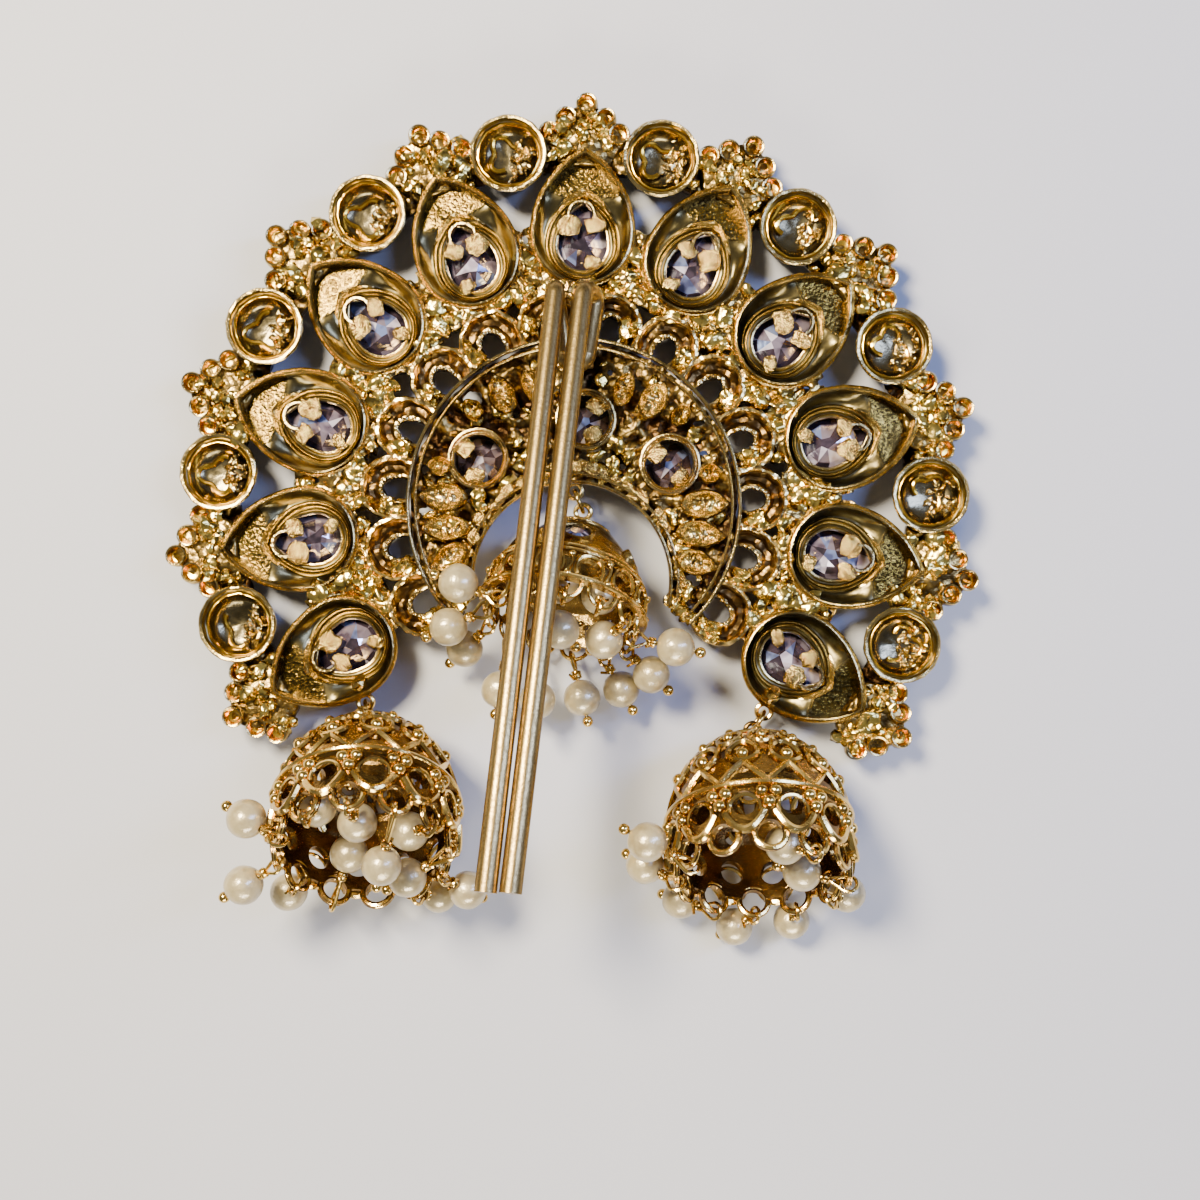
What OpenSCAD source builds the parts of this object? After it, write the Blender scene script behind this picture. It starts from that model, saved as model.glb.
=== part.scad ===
// Hair bun pin, lying on its front with its back up, in millimetres.
// A pierced fan of pear settings and round cups holds a lace-edged crescent, a folded wire
// fork and three small bells hung with pearls.
// X runs to the right, Y to the fan's top and Z up from the surface that it lies on.

/* [Fan] */
// Pear settings along the fan
pear_count = 11; // [9:2:11]
// Angle from one pear setting to the next
pear_step = 24.75; // [24.5:0.25:25]
// Distance of a pear setting from the fan's centre
pear_reach = 26.9; // [26.7:0.1:27.2]
// Half width of a pear setting
pear_half = 5.3; // [5.1:0.1:5.4]
// Length from the middle of a pear's round end to its tip
pear_tip = 8.7; // [8.4:0.1:9]
// Height of the settings' rims above the surface
rim_z = 5.1; // [4.8:0.1:5.5]
// Distance of a round cup from the fan's centre
cup_reach = 35.5; // [35.3:0.1:35.8]
// Radius of a round cup
cup_r = 3.85; // [3.7:0.05:4]

/* [Crescent] */
// Radius of the crescent's outer line
crescent_r = 16.5; // [16.3:0.1:16.7]
// Radius of the crescent's round opening
opening_r = 9.8; // [9.4:0.1:10]
// Distance of the opening's centre below the fan's centre
opening_drop = 7.6; // [7.4:0.1:7.8]
// Arches of the lace edge
arch_count = 14; // [14:1:14]
// Angle from one arch to the next
arch_step = 19.2; // [19:0.1:19.3]
// Distance of an arch from the fan's centre
arch_reach = 18.2; // [18.1:0.1:18.3]
// Outer radius of an arch
arch_r = 3.25; // [3.1:0.05:3.3]

/* [Fork] */
// Radius of the fork's round wire
fork_wire = 1; // [0.8:0.1:1]
// Height of the prongs' free ends
prong_end_z = 24; // [22:0.5:26]
// Distance of the prongs' free ends below the fan's centre
prong_drop = 34.8; // [30:0.1:38]

/* [Bells] */
// Radius of the two side bells
side_bell_r = 8.65; // [8.4:0.05:8.8]
// Length of a side bell from its mouth to its top
side_bell_h = 13.65; // [13.5:0.05:13.8]
// Radius of the middle bell
cap_bell_r = 7.9; // [7.7:0.1:8]
// Thickness of the bells' walls
bell_wall = 0.8; // [0.6:0.1:0.9]

/* [Pearls] */
// Radius of a pearl
pearl_r = 1.85; // [1.7:0.05:1.9]
// Radius of the hole through a pearl
pearl_bore = 0.42; // [0.35:0.01:0.5]
// Radius of a head pin's wire
pin_wire = 0.2; // [0.15:0.05:0.25]

/* [Hidden] */

gap = 0.1;
// The part's bounding box is centred on the Z axis by these
shift_x = -0.04;
shift_y = 1.32;

// Heights of the cast sheet between the settings
web_z = 2.8;
web_top = 4;
crescent_z = 2.6;
front_z = 0.5;
lump_top = 4.8;

// Rings of a pear setting from its front edge over its rim to its hole:
// half width taken off, tip length taken off, shift to the fan's centre, height
dish_rings = [
    [1.4, 2.0, 0.5, front_z],
    [0, 0, 0, rim_z],
    [0.45, 0.7, 0, rim_z],
    [1.55, 2.3, 0.5, 2.7],
    [1.8, 2.6, 0.6, 3.1],
    [2.2, 3.1, 0.7, 3.1],
    [2.2, 3.1, 0.7, front_z]
];
hole_half = pear_half - 2.2;
hole_tip = pear_tip - 3.1;
hole_shift = 0.7;
stone_top = 2.85;

// Section of a round cup, radius and height, from its front round its rim to its bowl
cup_section = [
    [0, 0.4], [2.8, 1.1], [cup_r, rim_z], [cup_r - 0.5, rim_z], [cup_r - 1.3, 2.8], [0, 2.2]
];

// Granules at a tip: sideways place and distance from the fan's centre
granule_spots = [[1.9, 38.6], [3.5, 37.1]];
knob_reach = 40;
// Outline of the sheet under the granules of one tip
tip_outline = [[-4.2, 36.6], [-2, 39.3], [0, 40.6], [2, 39.3], [4.2, 36.6], [2.6, 34], [-2.6, 34]];
granule_r = 1;

// Round stones of the crescent: angle from the fan's top and distance from its centre
round_spots = [[66, 10.6], [-6, 8.6], [-65, 10.4]];
round_collar_r = 2.95;
round_hole_r = 2.45;
crescent_cut = 11.8;
leaf_angles = [22, 36, 88, 101, 114];

// Jump ring sizes, and the places of the eyes on the plates and on the bells
eye_r = 0.75;
ring_wire = 0.22;
eye_wire = 0.25;
left_eye = [-20.4, -20.4, 3];
left_hang = [-19.75, -22.6, 1.9];
right_eye = [19.75, -20.1, 3];
right_hang = [18.67, -22.07, 3.1];
middle_eye = [0, 1.45, 3.3];
middle_hang = [0.92, -0.67, 3.7];

// Bells: rise of the mouth above level and turn about Z
left_rise = 44;
left_turn = 6;
right_rise = 34;
right_turn = 1.5;
middle_rise = 25;
middle_turn = -9;
cap_bell_h = 10.25;
// Distance of a bell's eye from its top
eye_lift = 1;
side_skirt = 3.5;
side_loops = 12;
cap_loops = 13;
loop_outer = 1.7;
loop_inner = 1.15;
loop_lift = 0.25;

// Head pins: loop number, lean out from the bell's axis, sway along the rim, length to the pearl
left_pins = [
    [0, -110, 0, 5], [1, -70, 10, 6], [2, -120, 20, 5], [3, -80, 30, 5], [4, 100, 30, 4],
    [5, 120, 0, 4], [7, -130, 0, 5], [8, 120, -30, 4], [9, 80, -30, 4], [10, 130, -20, 4],
    [11, -140, -20, 5.5]
];
right_pins = [
    [1, -120, -10, 4], [3, -110, 10, 4.5], [4, 120, 20, 4], [5, 100, 30, 4], [6, 90, 30, 3.5],
    [7, 120, 20, 4.5], [9, 130, -20, 4], [10, 120, -20, 4.5]
];
middle_pins = [
    [0, -130, -10, 4], [1, -130, 20, 5], [2, -80, 30, 4], [3, 90, 10, 4], [4, 70, 10, 3.5],
    [5, 50, -10, 3.5], [6, 20, -20, 4], [7, 0, -10, 5], [8, 10, -10, 5], [9, 60, -30, 4],
    [10, 60, -30, 4], [11, 100, -30, 4], [12, -70, 20, 5]
];

function unit(v) = v / norm(v);
function pear_angle(i) = (i - (pear_count - 1) / 2) * -pear_step;
function cup_angle(i) = pear_angle(i) - pear_step / 2;
function arch_angle(i) = (i - (arch_count - 1) / 2) * -arch_step;

// Outline of a pear: a half circle of radius a, and two flank arcs that meet in a tip at h
function pear(a, h, round_steps, flank_steps) =
    let (flank = (a * a + h * h) / (2 * a), top = asin(h / flank))
    concat(
        [for (i = [0 : round_steps]) let (t = 180 + 180 * i / round_steps) [a * cos(t), a * sin(t)]],
        [for (i = [1 : flank_steps]) let (t = top * i / flank_steps)
            [a - flank + flank * cos(t), flank * sin(t)]],
        [for (i = [flank_steps - 1 : -1 : 1]) let (t = top * i / flank_steps)
            [flank - a - flank * cos(t), flank * sin(t)]]
    );

module placed() {
    translate([shift_x, shift_y, 0]) children();
}

// Turns its children from the fan's top to an angle, at a distance from the centre
module spoke(angle, reach) {
    rotate([0, 0, angle]) translate([0, reach, 0]) children();
}

// A closed band of quads through equal rings of points, joined last to first
module ring_loft(rings) {
    rows = len(rings);
    side = len(rings[0]);
    polyhedron(
        points = [for (ring = rings) each ring],
        faces = [for (k = [0 : rows - 1], i = [0 : side - 1])
            let (j = (i + 1) % side, next = (k + 1) % rows)
            each [
                [k * side + i, next * side + j, k * side + j],
                [k * side + i, next * side + i, next * side + j]
            ]]
    );
}

// A round rod between two points
module rod(from, to, r) {
    along = to - from;
    translate(from)
        rotate([0, acos(along.z / norm(along)), atan2(along.y, along.x)])
            cylinder(r = r, h = norm(along), $fn = 24);
}

module torus(r, wire) {
    rotate_extrude($fn = 36) translate([r, 0]) circle(r = wire, $fn = 16);
}

// Bend of a wire round corner b of the route a, b, c
module wire_bend(a, b, c, bend, wire) {
    back = unit(a - b);
    on = unit(c - b);
    inside = acos(back * on);
    setback = bend / tan(inside / 2);
    centre = b + unit(back + on) * bend / sin(inside / 2);
    e1 = unit(b + back * setback - centre);
    e2 = -back;
    e3 = cross(e1, e2);
    multmatrix([
        [e1.x, e2.x, e3.x, centre.x],
        [e1.y, e2.y, e3.y, centre.y],
        [e1.z, e2.z, e3.z, centre.z]
    ]) rotate_extrude(angle = 180 - inside, $fn = 48) translate([bend, 0]) circle(r = wire, $fn = 24);
}

// A wire along a route with rounded corners
module bent_wire(route, bends, wire) {
    last = len(route) - 1;
    lap = 0.05;
    function setback(i) = i == 0 || i == last ? 0 :
        bends[i] / tan(acos(unit(route[i - 1] - route[i]) * unit(route[i + 1] - route[i])) / 2);
    for (i = [0 : last - 1]) {
        along = unit(route[i + 1] - route[i]);
        from = route[i] + along * setback(i);
        to = route[i + 1] - along * setback(i + 1);
        // Each straight runs a little into its bends, which are a touch thinner
        rod(from - along * (i == 0 ? 0 : lap), to + along * (i == last - 1 ? 0 : lap), wire);
    }
    for (i = [1 : last - 1]) wire_bend(route[i - 1], route[i], route[i + 1], bends[i], wire - 0.01);
}

// Fan plate

module pear_dish() {
    ring_loft([for (row = dish_rings)
        [for (p = pear(pear_half - row[0], pear_tip - row[1], 6, 3)) [p.x, p.y - row[2], row[3]]]]);
    // Tabs that fold over the stone
    for (side = [-1, 1])
        translate([side * (hole_half - 0.35), -0.9 * side - hole_shift, 3.12])
            cube([1.3, 1.5, 0.46], center = true);
    translate([0, hole_tip - hole_shift - 1.1, 3.12]) cube([1.5, 1.4, 0.46], center = true);
}

module cup() {
    rotate_extrude($fn = 14) polygon(cup_section);
}

// Granules round a tip, with a knob at its far end and small grains between
module granules() {
    for (side = [-1, 1], spot = granule_spots)
        translate([side * spot.x, spot.y, web_z]) cylinder(r = granule_r, h = 1.9, $fn = 7);
    translate([0, knob_reach, web_z]) {
        cylinder(r1 = granule_r + 0.1, r2 = 0.6, h = 1.9, $fn = 7);
    }
    for (x = [-1, 1]) translate([x, 37.2, web_top - 0.1]) grain(0.9);
}

module grain(r) {
    hull() {
        cylinder(r = r, h = 0.1, $fn = 5);
        translate([0, 0, lump_top - web_top]) cylinder(r = r / 2, h = 0.1, $fn = 4);
    }
}

module fan_sheet() {
    difference() {
        union() {
            difference() {
                union() {
                    sheet_ring(28.4, 21.2);
                    sheet_ring(36.6, 33);
                }
                // The fan stays open towards its lower side
                polygon([[0, 0], [60, -43], [60, -80], [-60, -80], [-60, -43]]);
            }
            for (i = [0 : pear_count - 1]) rotate([0, 0, pear_angle(i)]) polygon(tip_outline);
        }
        for (i = [0 : arch_count - 1]) spoke(arch_angle(i), arch_reach) circle(r = arch_r + gap, $fn = 12);
        dish_and_cup_floors();
    }
}

module sheet_ring(outer, inner) {
    difference() {
        circle(r = outer, $fn = 48);
        circle(r = inner, $fn = 48);
    }
}

module dish_and_cup_floors() {
    for (i = [0 : pear_count - 1])
        spoke(pear_angle(i), pear_reach - 0.2) polygon(pear(pear_half - 0.8, pear_tip - 1.3, 6, 3));
    for (i = [0 : pear_count - 2]) spoke(cup_angle(i), cup_reach) circle(r = 3.2, $fn = 14);
}

// Flat eye that a jump ring goes through, with a lug that joins it to its setting
module plate_eye(at) {
    end_pear = pear_reach * [sign(at.x) * sin(pear_angle(0)), cos(pear_angle(0))];
    toward = unit(end_pear - [at.x, at.y]);
    translate(at) rotate_extrude($fn = 12) translate([eye_r, 0]) circle(r = eye_wire, $fn = 6);
    translate([at.x + 1.1 * toward.x, at.y + 1.1 * toward.y, 2.4]) cylinder(r = 0.55, h = 1.6, $fn = 8);
}

module fan_plate() color("goldenrod") placed() {
    translate([0, 0, web_z]) linear_extrude(web_top - web_z) fan_sheet();
    for (i = [0 : pear_count - 1]) {
        spoke(pear_angle(i), pear_reach) pear_dish();
        rotate([0, 0, pear_angle(i)]) granules();
    }
    for (i = [0 : pear_count - 2]) {
        spoke(cup_angle(i), cup_reach) cup();
        rotate([0, 0, cup_angle(i)]) {
            // Grains between two pear settings
            translate([0, 22.9, web_top - 0.1]) grain(1.3);
            translate([0, 25, web_top - 0.1]) grain(1);
            translate([0, 27.2, web_top - 0.1]) grain(0.9);
        }
    }
    plate_eye(left_eye);
    plate_eye(right_eye);
}

// Crescent plate

module crescent_outline(inset) {
    difference() {
        circle(r = crescent_r - inset, $fn = 42);
        translate([0, -opening_drop]) circle(r = opening_r + inset, $fn = 36);
        translate([-30, -30 - crescent_cut]) square([60, 30]);
    }
}

module lace_arch() {
    rotate_extrude($fn = 12)
        polygon([[1.7, 2.9], [arch_r, 2.9], [arch_r - 0.3, 4.6], [2, 4.2]]);
}

module leaf_rib(angle) {
    start = -opening_drop * cos(angle)
        + sqrt(pow(opening_drop * cos(angle), 2) + pow(opening_r, 2) - pow(opening_drop, 2));
    rotate([0, 0, angle]) hull() {
        translate([0, start + 1.2, web_top - 0.3]) cylinder(r = 0.4, h = 0.8, $fn = 6);
        translate([0, crescent_r - 2.2, web_top - 0.3]) cylinder(r = 0.9, h = 1, $fn = 6);
    }
}

module crescent_plate() color("darkgoldenrod") placed() {
    difference() {
        union() {
            translate([0, 0, crescent_z]) linear_extrude(web_top - crescent_z) crescent_outline(0);
            // Raised line round the edge
            translate([0, 0, web_top - 0.1]) linear_extrude(0.8) difference() {
                crescent_outline(0);
                crescent_outline(0.7);
            }
            for (side = [-1, 1], angle = leaf_angles) leaf_rib(side * angle);
            for (spot = round_spots) spoke(spot[0], spot[1])
                translate([0, 0, front_z]) cylinder(r = round_collar_r, h = 4.2, $fn = 14);
        }
        for (i = [0 : arch_count - 1]) spoke(arch_angle(i), arch_reach)
            translate([0, 0, 2]) cylinder(r = 1.9, h = 4, $fn = 9);
        for (spot = round_spots) spoke(spot[0], spot[1])
            cylinder(r = round_hole_r, h = 6, $fn = 12);
    }
    for (i = [0 : arch_count - 1]) spoke(arch_angle(i), arch_reach) lace_arch();
    translate(middle_eye) rotate_extrude($fn = 12) translate([eye_r, 0]) circle(r = eye_wire, $fn = 6);
}

// Stones, with their tables on the surface

module pear_stone(i) color("lavender") placed()
    spoke(pear_angle(i), pear_reach - hole_shift) hull() {
        linear_extrude(0.1) polygon(pear(hole_half * 0.55, hole_tip * 0.55, 6, 3));
        translate([0, 0, 0.9]) linear_extrude(0.35)
            polygon(pear(hole_half - gap, hole_tip - 2 * gap, 6, 3));
        translate([0, 0, stone_top - 0.1]) linear_extrude(0.1)
            polygon(pear(hole_half * 0.2, hole_tip * 0.3, 6, 3));
    }

module round_stone(i) color("lavender") placed()
    spoke(round_spots[i][0], round_spots[i][1]) hull() {
        cylinder(r = 1.3, h = 0.1, $fn = 12);
        translate([0, 0, 0.9]) cylinder(r = round_hole_r - gap, h = 0.35, $fn = 12);
        translate([0, 0, 2.9]) cylinder(r = 0.4, h = 0.1, $fn = 12);
    }

// Hair fork: one wire folded into two prongs, whose closed end turns back under them

module hair_fork() color("tan") placed() {
    bend_y = 21.3;
    bend_z = 9.92;
    foot_y = 12.9;
    foot_z = rim_z + fork_wire + 0.05;
    prong_half = 1.07;
    end_x = -5.06;
    foot_half = 2.1;
    foot_x = -0.3;
    bend_x = -1.07;
    route = [
        [end_x - prong_half, -prong_drop, prong_end_z],
        [bend_x - prong_half, bend_y, bend_z],
        [foot_x - foot_half, bend_y, foot_z],
        [foot_x - foot_half, foot_y, foot_z],
        [foot_x + foot_half, foot_y, foot_z],
        [foot_x + foot_half, bend_y, foot_z],
        [bend_x + prong_half, bend_y, bend_z],
        [end_x + prong_half, -prong_drop, prong_end_z]
    ];
    bent_wire(route, [0, 1.9, 1.9, 2, 2, 1.9, 1.9, 0], fork_wire);
    // Solder between the wires of the closed end
    translate([foot_x - 1.8, 13.6, 4.8]) cube([3.6, 3.4, 1.2]);
}

// Jump ring through the eyes at two points
module jump_ring(a, b) {
    translate((a + b) / 2)
        rotate([90, 0, atan2(b.y - a.y, b.x - a.x)])
            torus(norm(b - a) / 2, ring_wire);
}

// Bells, drawn with the mouth at Z = 0 facing up

// Sets a bell's eye at a place, with its mouth turned away and raised
module hung(at, rise, turn, length) {
    translate(at) rotate([0, 0, turn]) rotate([90 - rise, 0, 0])
        translate([0, 0, length]) children();
}

module bell_eye(length, rise) {
    translate([0, 0, -length]) {
        rotate([rise - 90, 0, 0]) torus(eye_r, eye_wire);
        translate([0, -0.95 * sin(rise), 0.95 * cos(rise)]) sphere(r = 0.5, $fn = 24);
    }
}

// Scallop loops along a rim, which carry the head pins, and the holes through them
module rim_loops(r, count) {
    for (i = [0 : count - 1]) rotate([0, 0, -360 * i / count])
        translate([0, r - 0.35, loop_lift]) rotate([90, 0, 0]) cylinder(r = loop_outer, h = 0.4, $fn = 32);
}

module rim_loop_holes(r, count) {
    for (i = [0 : count - 1]) rotate([0, 0, -360 * i / count])
        translate([0, r + 1, loop_lift]) rotate([90, 0, 0]) cylinder(r = loop_inner, h = 4, $fn = 32);
}

// Half section of a side bell's outside, with its lip and its plain wire band
function side_section(r, crown) = concat(
    [[0, 0], [r + 0.3, 0], [r + 0.3, -0.5], [r, -0.7]],
    [[r, -4.1], [r + 0.35, -4.35], [r + 0.35, -4.75], [r - 0.1, -5]],
    [for (i = [1 : 7]) let (t = 90 * i / 7) [r * cos(t), -side_skirt - crown * sin(t)]]);

// Half section of its hollow
function hollow_section(r, crown) = concat(
    [[0, 1], [r, 1]],
    [for (i = [0 : 7]) let (t = 90 * i / 7) [r * cos(t), -side_skirt - crown * sin(t)]]);

module side_bell(rise) {
    crown = side_bell_h - side_skirt;
    difference() {
        union() {
            rotate_extrude($fn = 60) polygon(side_section(side_bell_r, crown));
            rim_loops(side_bell_r, side_loops);
        }
        rotate_extrude($fn = 60) polygon(hollow_section(side_bell_r - bell_wall, crown - bell_wall));
        rim_loop_holes(side_bell_r, side_loops);
        // Tiers of the pierced filigree
        for (i = [0 : side_loops - 1]) {
            rotate([0, 0, 30 * i + 15]) translate([0, 0, -2.65]) pierce(1.2, 0);
            rotate([0, 0, 30 * i + 15]) translate([0, 0, -side_skirt]) pierce(0.7, 20);
        }
        for (i = [0 : 9]) rotate([0, 0, 36 * i]) translate([0, 0, -side_skirt]) pierce(1.3, 44);
    }
    bell_eye(side_bell_h + eye_lift, rise);
}

// A hole through one wall, from the axis outwards and up to the top by an angle
module pierce(r, lift) {
    rotate([-90 - lift, 0, 0]) translate([0, 0, 3]) cylinder(r = r, h = side_bell_r, $fn = 24);
}

// Half section of the middle bell, a cap with a band of two wires, as distance inside its rim
// and height, and the same of its hollow
cap_outside = [
    [-0.3, 0], [-0.3, -0.5], [0.1, -0.7], [0.2, -2.2], [0.85, -4], [0.6, -4.2], [0.8, -4.6],
    [1.15, -4.65], [0.95, -4.85], [1.15, -5.2], [1.6, -5.4], [2.4, -6.5], [4, -8.3], [5.9, -9.7]
];
cap_inside = [[0.8, 1], [0.8, 0], [1, -2], [1.8, -4.4], [3.2, -6], [4.7, -7.5], [6.4, -8.8]];

function from_rim(r, section) = [for (p = section) [r - p.x, p.y]];

module middle_bell(rise) {
    difference() {
        union() {
            rotate_extrude($fn = 60)
                polygon(concat([[0, 0]], from_rim(cap_bell_r, cap_outside), [[0, -cap_bell_h]]));
            rim_loops(cap_bell_r, cap_loops);
            for (i = [0 : 4]) rotate([0, 0, 72 * i]) oval_seat() oval(1, 0.7);
        }
        rotate_extrude($fn = 60)
            polygon(concat([[0, 1]], from_rim(cap_bell_r, cap_inside), [[0, bell_wall - cap_bell_h]]));
        rim_loop_holes(cap_bell_r, cap_loops);
        for (i = [0 : cap_loops - 1]) rotate([0, 0, 360 * (i + 0.5) / cap_loops])
            translate([0, 0, -2.5]) pierce(1.15, 0);
        for (i = [0 : 4]) rotate([0, 0, 72 * i]) oval_seat() oval(0.75, 1);
    }
    bell_eye(cap_bell_h + eye_lift, rise);
}

// Place of an oval setting on the cap's slope
module oval_seat() {
    translate([0, 4.7, -7.4]) rotate([-90 - 41, 0, 0]) children();
}

module oval(r, h) {
    translate([0, 0, -0.3]) scale([1.45, 1, 1]) cylinder(r = r, h = h + 0.3, $fn = 32);
}

module oval_stone() {
    scale([1.45, 1, 1]) {
        translate([0, 0, -0.1]) cylinder(r = 0.62, h = 0.6, $fn = 8);
        translate([0, 0, 0.5]) cylinder(r1 = 0.62, r2 = 0.35, h = 0.3, $fn = 8);
    }
}

// Head pins and the pearls on them

// Sets its children at a rim loop's lower wire, with Z along the pin
module at_pin(pin, r, count) {
    rotate([0, 0, -360 * pin[0] / count])
        translate([0, r - 0.55, loop_lift + (loop_outer + loop_inner) / 2])
            rotate([-pin[1], 0, 0]) rotate([0, pin[2], 0]) children();
}

module head_pin(length) {
    rotate([0, 90, 0]) torus(0.8, pin_wire);
    translate([0, 0, 0.8]) cylinder(r = pin_wire + 0.02, h = length + pearl_r - 0.4, $fn = 20);
    translate([0, 0, 1.1]) cylinder(r = 0.45, h = 0.45, $fn = 20);
    translate([0, 0, length + pearl_r + 0.6]) sphere(r = 0.5, $fn = 20);
}

module pearl(length) {
    translate([0, 0, length]) difference() {
        sphere(r = pearl_r, $fn = 32);
        translate([0, 0, -3]) cylinder(r = pearl_bore, h = 6, $fn = 20);
    }
}

module left_hung() {
    hung(left_hang, left_rise, left_turn, side_bell_h + eye_lift) children();
}

module right_hung() {
    hung(right_hang, right_rise, right_turn, side_bell_h + eye_lift) children();
}

module middle_hung() {
    hung(middle_hang, middle_rise, middle_turn, cap_bell_h + eye_lift) children();
}

module bell_left() color("gold") placed() left_hung() side_bell(left_rise);
module bell_right() color("gold") placed() right_hung() side_bell(right_rise);
module bell_middle() color("gold") placed() middle_hung() middle_bell(middle_rise);
module bell_stones() color("lavender") placed() middle_hung()
    for (i = [0 : 4]) rotate([0, 0, 72 * i]) oval_seat() oval_stone();

module pins_left() color("gold") placed() left_hung()
    for (pin = left_pins) at_pin(pin, side_bell_r, side_loops) head_pin(pin[3]);
module pins_right() color("gold") placed() right_hung()
    for (pin = right_pins) at_pin(pin, side_bell_r, side_loops) head_pin(pin[3]);
module pins_middle() color("gold") placed() middle_hung()
    for (pin = middle_pins) at_pin(pin, cap_bell_r, cap_loops) head_pin(pin[3]);
module pearls_left() color("ivory") placed() left_hung()
    for (pin = left_pins) at_pin(pin, side_bell_r, side_loops) pearl(pin[3]);
module pearls_right() color("ivory") placed() right_hung()
    for (pin = right_pins) at_pin(pin, side_bell_r, side_loops) pearl(pin[3]);
module pearls_middle() color("ivory") placed() middle_hung()
    for (pin = middle_pins) at_pin(pin, cap_bell_r, cap_loops) pearl(pin[3]);

module ring_left() color("gold") placed() jump_ring(left_eye, left_hang);
module ring_right() color("gold") placed() jump_ring(right_eye, right_hang);
module ring_middle() color("gold") placed() jump_ring(middle_eye, middle_hang);

fan_plate();
crescent_plate();
pear_stone(0);  // pear_stone_1
pear_stone(1);  // pear_stone_2
pear_stone(2);  // pear_stone_3
pear_stone(3);  // pear_stone_4
pear_stone(4);  // pear_stone_5
pear_stone(5);  // pear_stone_6
pear_stone(6);  // pear_stone_7
pear_stone(7);  // pear_stone_8
pear_stone(8);  // pear_stone_9
pear_stone(9);  // pear_stone_10
pear_stone(10);  // pear_stone_11
round_stone(0);  // round_stone_1
round_stone(1);  // round_stone_2
round_stone(2);  // round_stone_3
hair_fork();
ring_left();
ring_middle();
ring_right();
bell_left();
bell_middle();
bell_right();
bell_stones();
pearls_left();
pearls_middle();
pearls_right();
pins_left();
pins_middle();
pins_right();
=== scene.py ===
"""Hair bun pin lying on its front, with its cast back up.

The finely made pieces, their finishes, the light and the camera. Lengths are in
millimetres in the fan's own frame until a piece is set in the part's frame.
"""

import logging
import math
import random
from dataclasses import dataclass
from enum import Enum, IntEnum
from math import radians
from typing import Callable, Iterable, Optional, Sequence, Union

import bmesh
import bpy
from mathutils import Matrix, Vector, noise

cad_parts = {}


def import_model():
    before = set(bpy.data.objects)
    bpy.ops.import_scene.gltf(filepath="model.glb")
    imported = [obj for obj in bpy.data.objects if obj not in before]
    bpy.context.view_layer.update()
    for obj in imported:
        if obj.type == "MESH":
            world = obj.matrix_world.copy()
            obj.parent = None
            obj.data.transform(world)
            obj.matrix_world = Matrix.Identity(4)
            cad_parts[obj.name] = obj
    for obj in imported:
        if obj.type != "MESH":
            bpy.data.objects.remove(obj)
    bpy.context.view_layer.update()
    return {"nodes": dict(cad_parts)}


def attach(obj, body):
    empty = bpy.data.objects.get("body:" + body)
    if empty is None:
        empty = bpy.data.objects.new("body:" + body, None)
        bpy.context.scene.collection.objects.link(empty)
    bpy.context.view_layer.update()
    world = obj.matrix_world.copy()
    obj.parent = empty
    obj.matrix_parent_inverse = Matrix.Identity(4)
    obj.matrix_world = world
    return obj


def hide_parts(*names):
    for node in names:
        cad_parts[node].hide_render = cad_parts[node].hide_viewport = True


LOG = logging.getLogger("bun_pin")
MM = 0.001
PER_METRE = 1000.0
NOISE_SEED = 6
TO_FRAME = Matrix.Scale(MM, 4) @ Matrix.Translation((-0.04, 1.32, 0.0))
# Points nearer than this are merged
MERGE = 1e-4
# No point of a bell's filigree lies lower than this
LOWEST = 0.02
# Angles from which an edge stays sharp
SMOOTH_CREASE = 40.0
ROD_CREASE = 50.0
CAST_CREASE = 55.0
FACET_CREASE = 1.0

Flat = tuple[float, float]
Form = bpy.types.Mesh


class Side(Enum):
    """Which side of the fan a bell hangs on."""

    LEFT = "left"
    MIDDLE = "middle"
    RIGHT = "right"


# Shader maths


class Signal:
    """An output socket of a finish's node tree, with arithmetic."""

    def __init__(self, tree: "Tree", socket: bpy.types.NodeSocket) -> None:
        """Keeps the tree and the socket."""
        self.tree = tree
        self.socket = socket

    def math(self, operation: str, *others: Union[float, "Signal"]) -> "Signal":
        """A Math node on this signal and others."""
        values = dict(enumerate((self, *others)))
        return self.tree.node("ShaderNodeMath", {"operation": operation}, values)

    def __add__(self, other: Union[float, "Signal"]) -> "Signal":
        """Sum."""
        return self.math("ADD", other)

    def __mul__(self, other: Union[float, "Signal"]) -> "Signal":
        """Product."""
        return self.math("MULTIPLY", other)

    def __sub__(self, other: Union[float, "Signal"]) -> "Signal":
        """Difference."""
        return self.math("SUBTRACT", other)

    def __rsub__(self, other: float) -> "Signal":
        """Difference from a number."""
        values = {0: other, 1: self}
        return self.tree.node("ShaderNodeMath", {"operation": "SUBTRACT"}, values)

    __radd__ = __add__
    __rmul__ = __mul__

    def ramp(self, low: float, high: float) -> "Signal":
        """Runs smoothly from 0 at low to 1 at high.

        Args:
            low: value that gives 0.
            high: value that gives 1.

        Returns:
            The signal between 0 and 1.
        """
        values = {0: self, 1: low, 2: high, 3: 0.0, 4: 1.0}
        return self.tree.node("ShaderNodeMapRange", {"interpolation_type": "SMOOTHSTEP"}, values)


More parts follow.
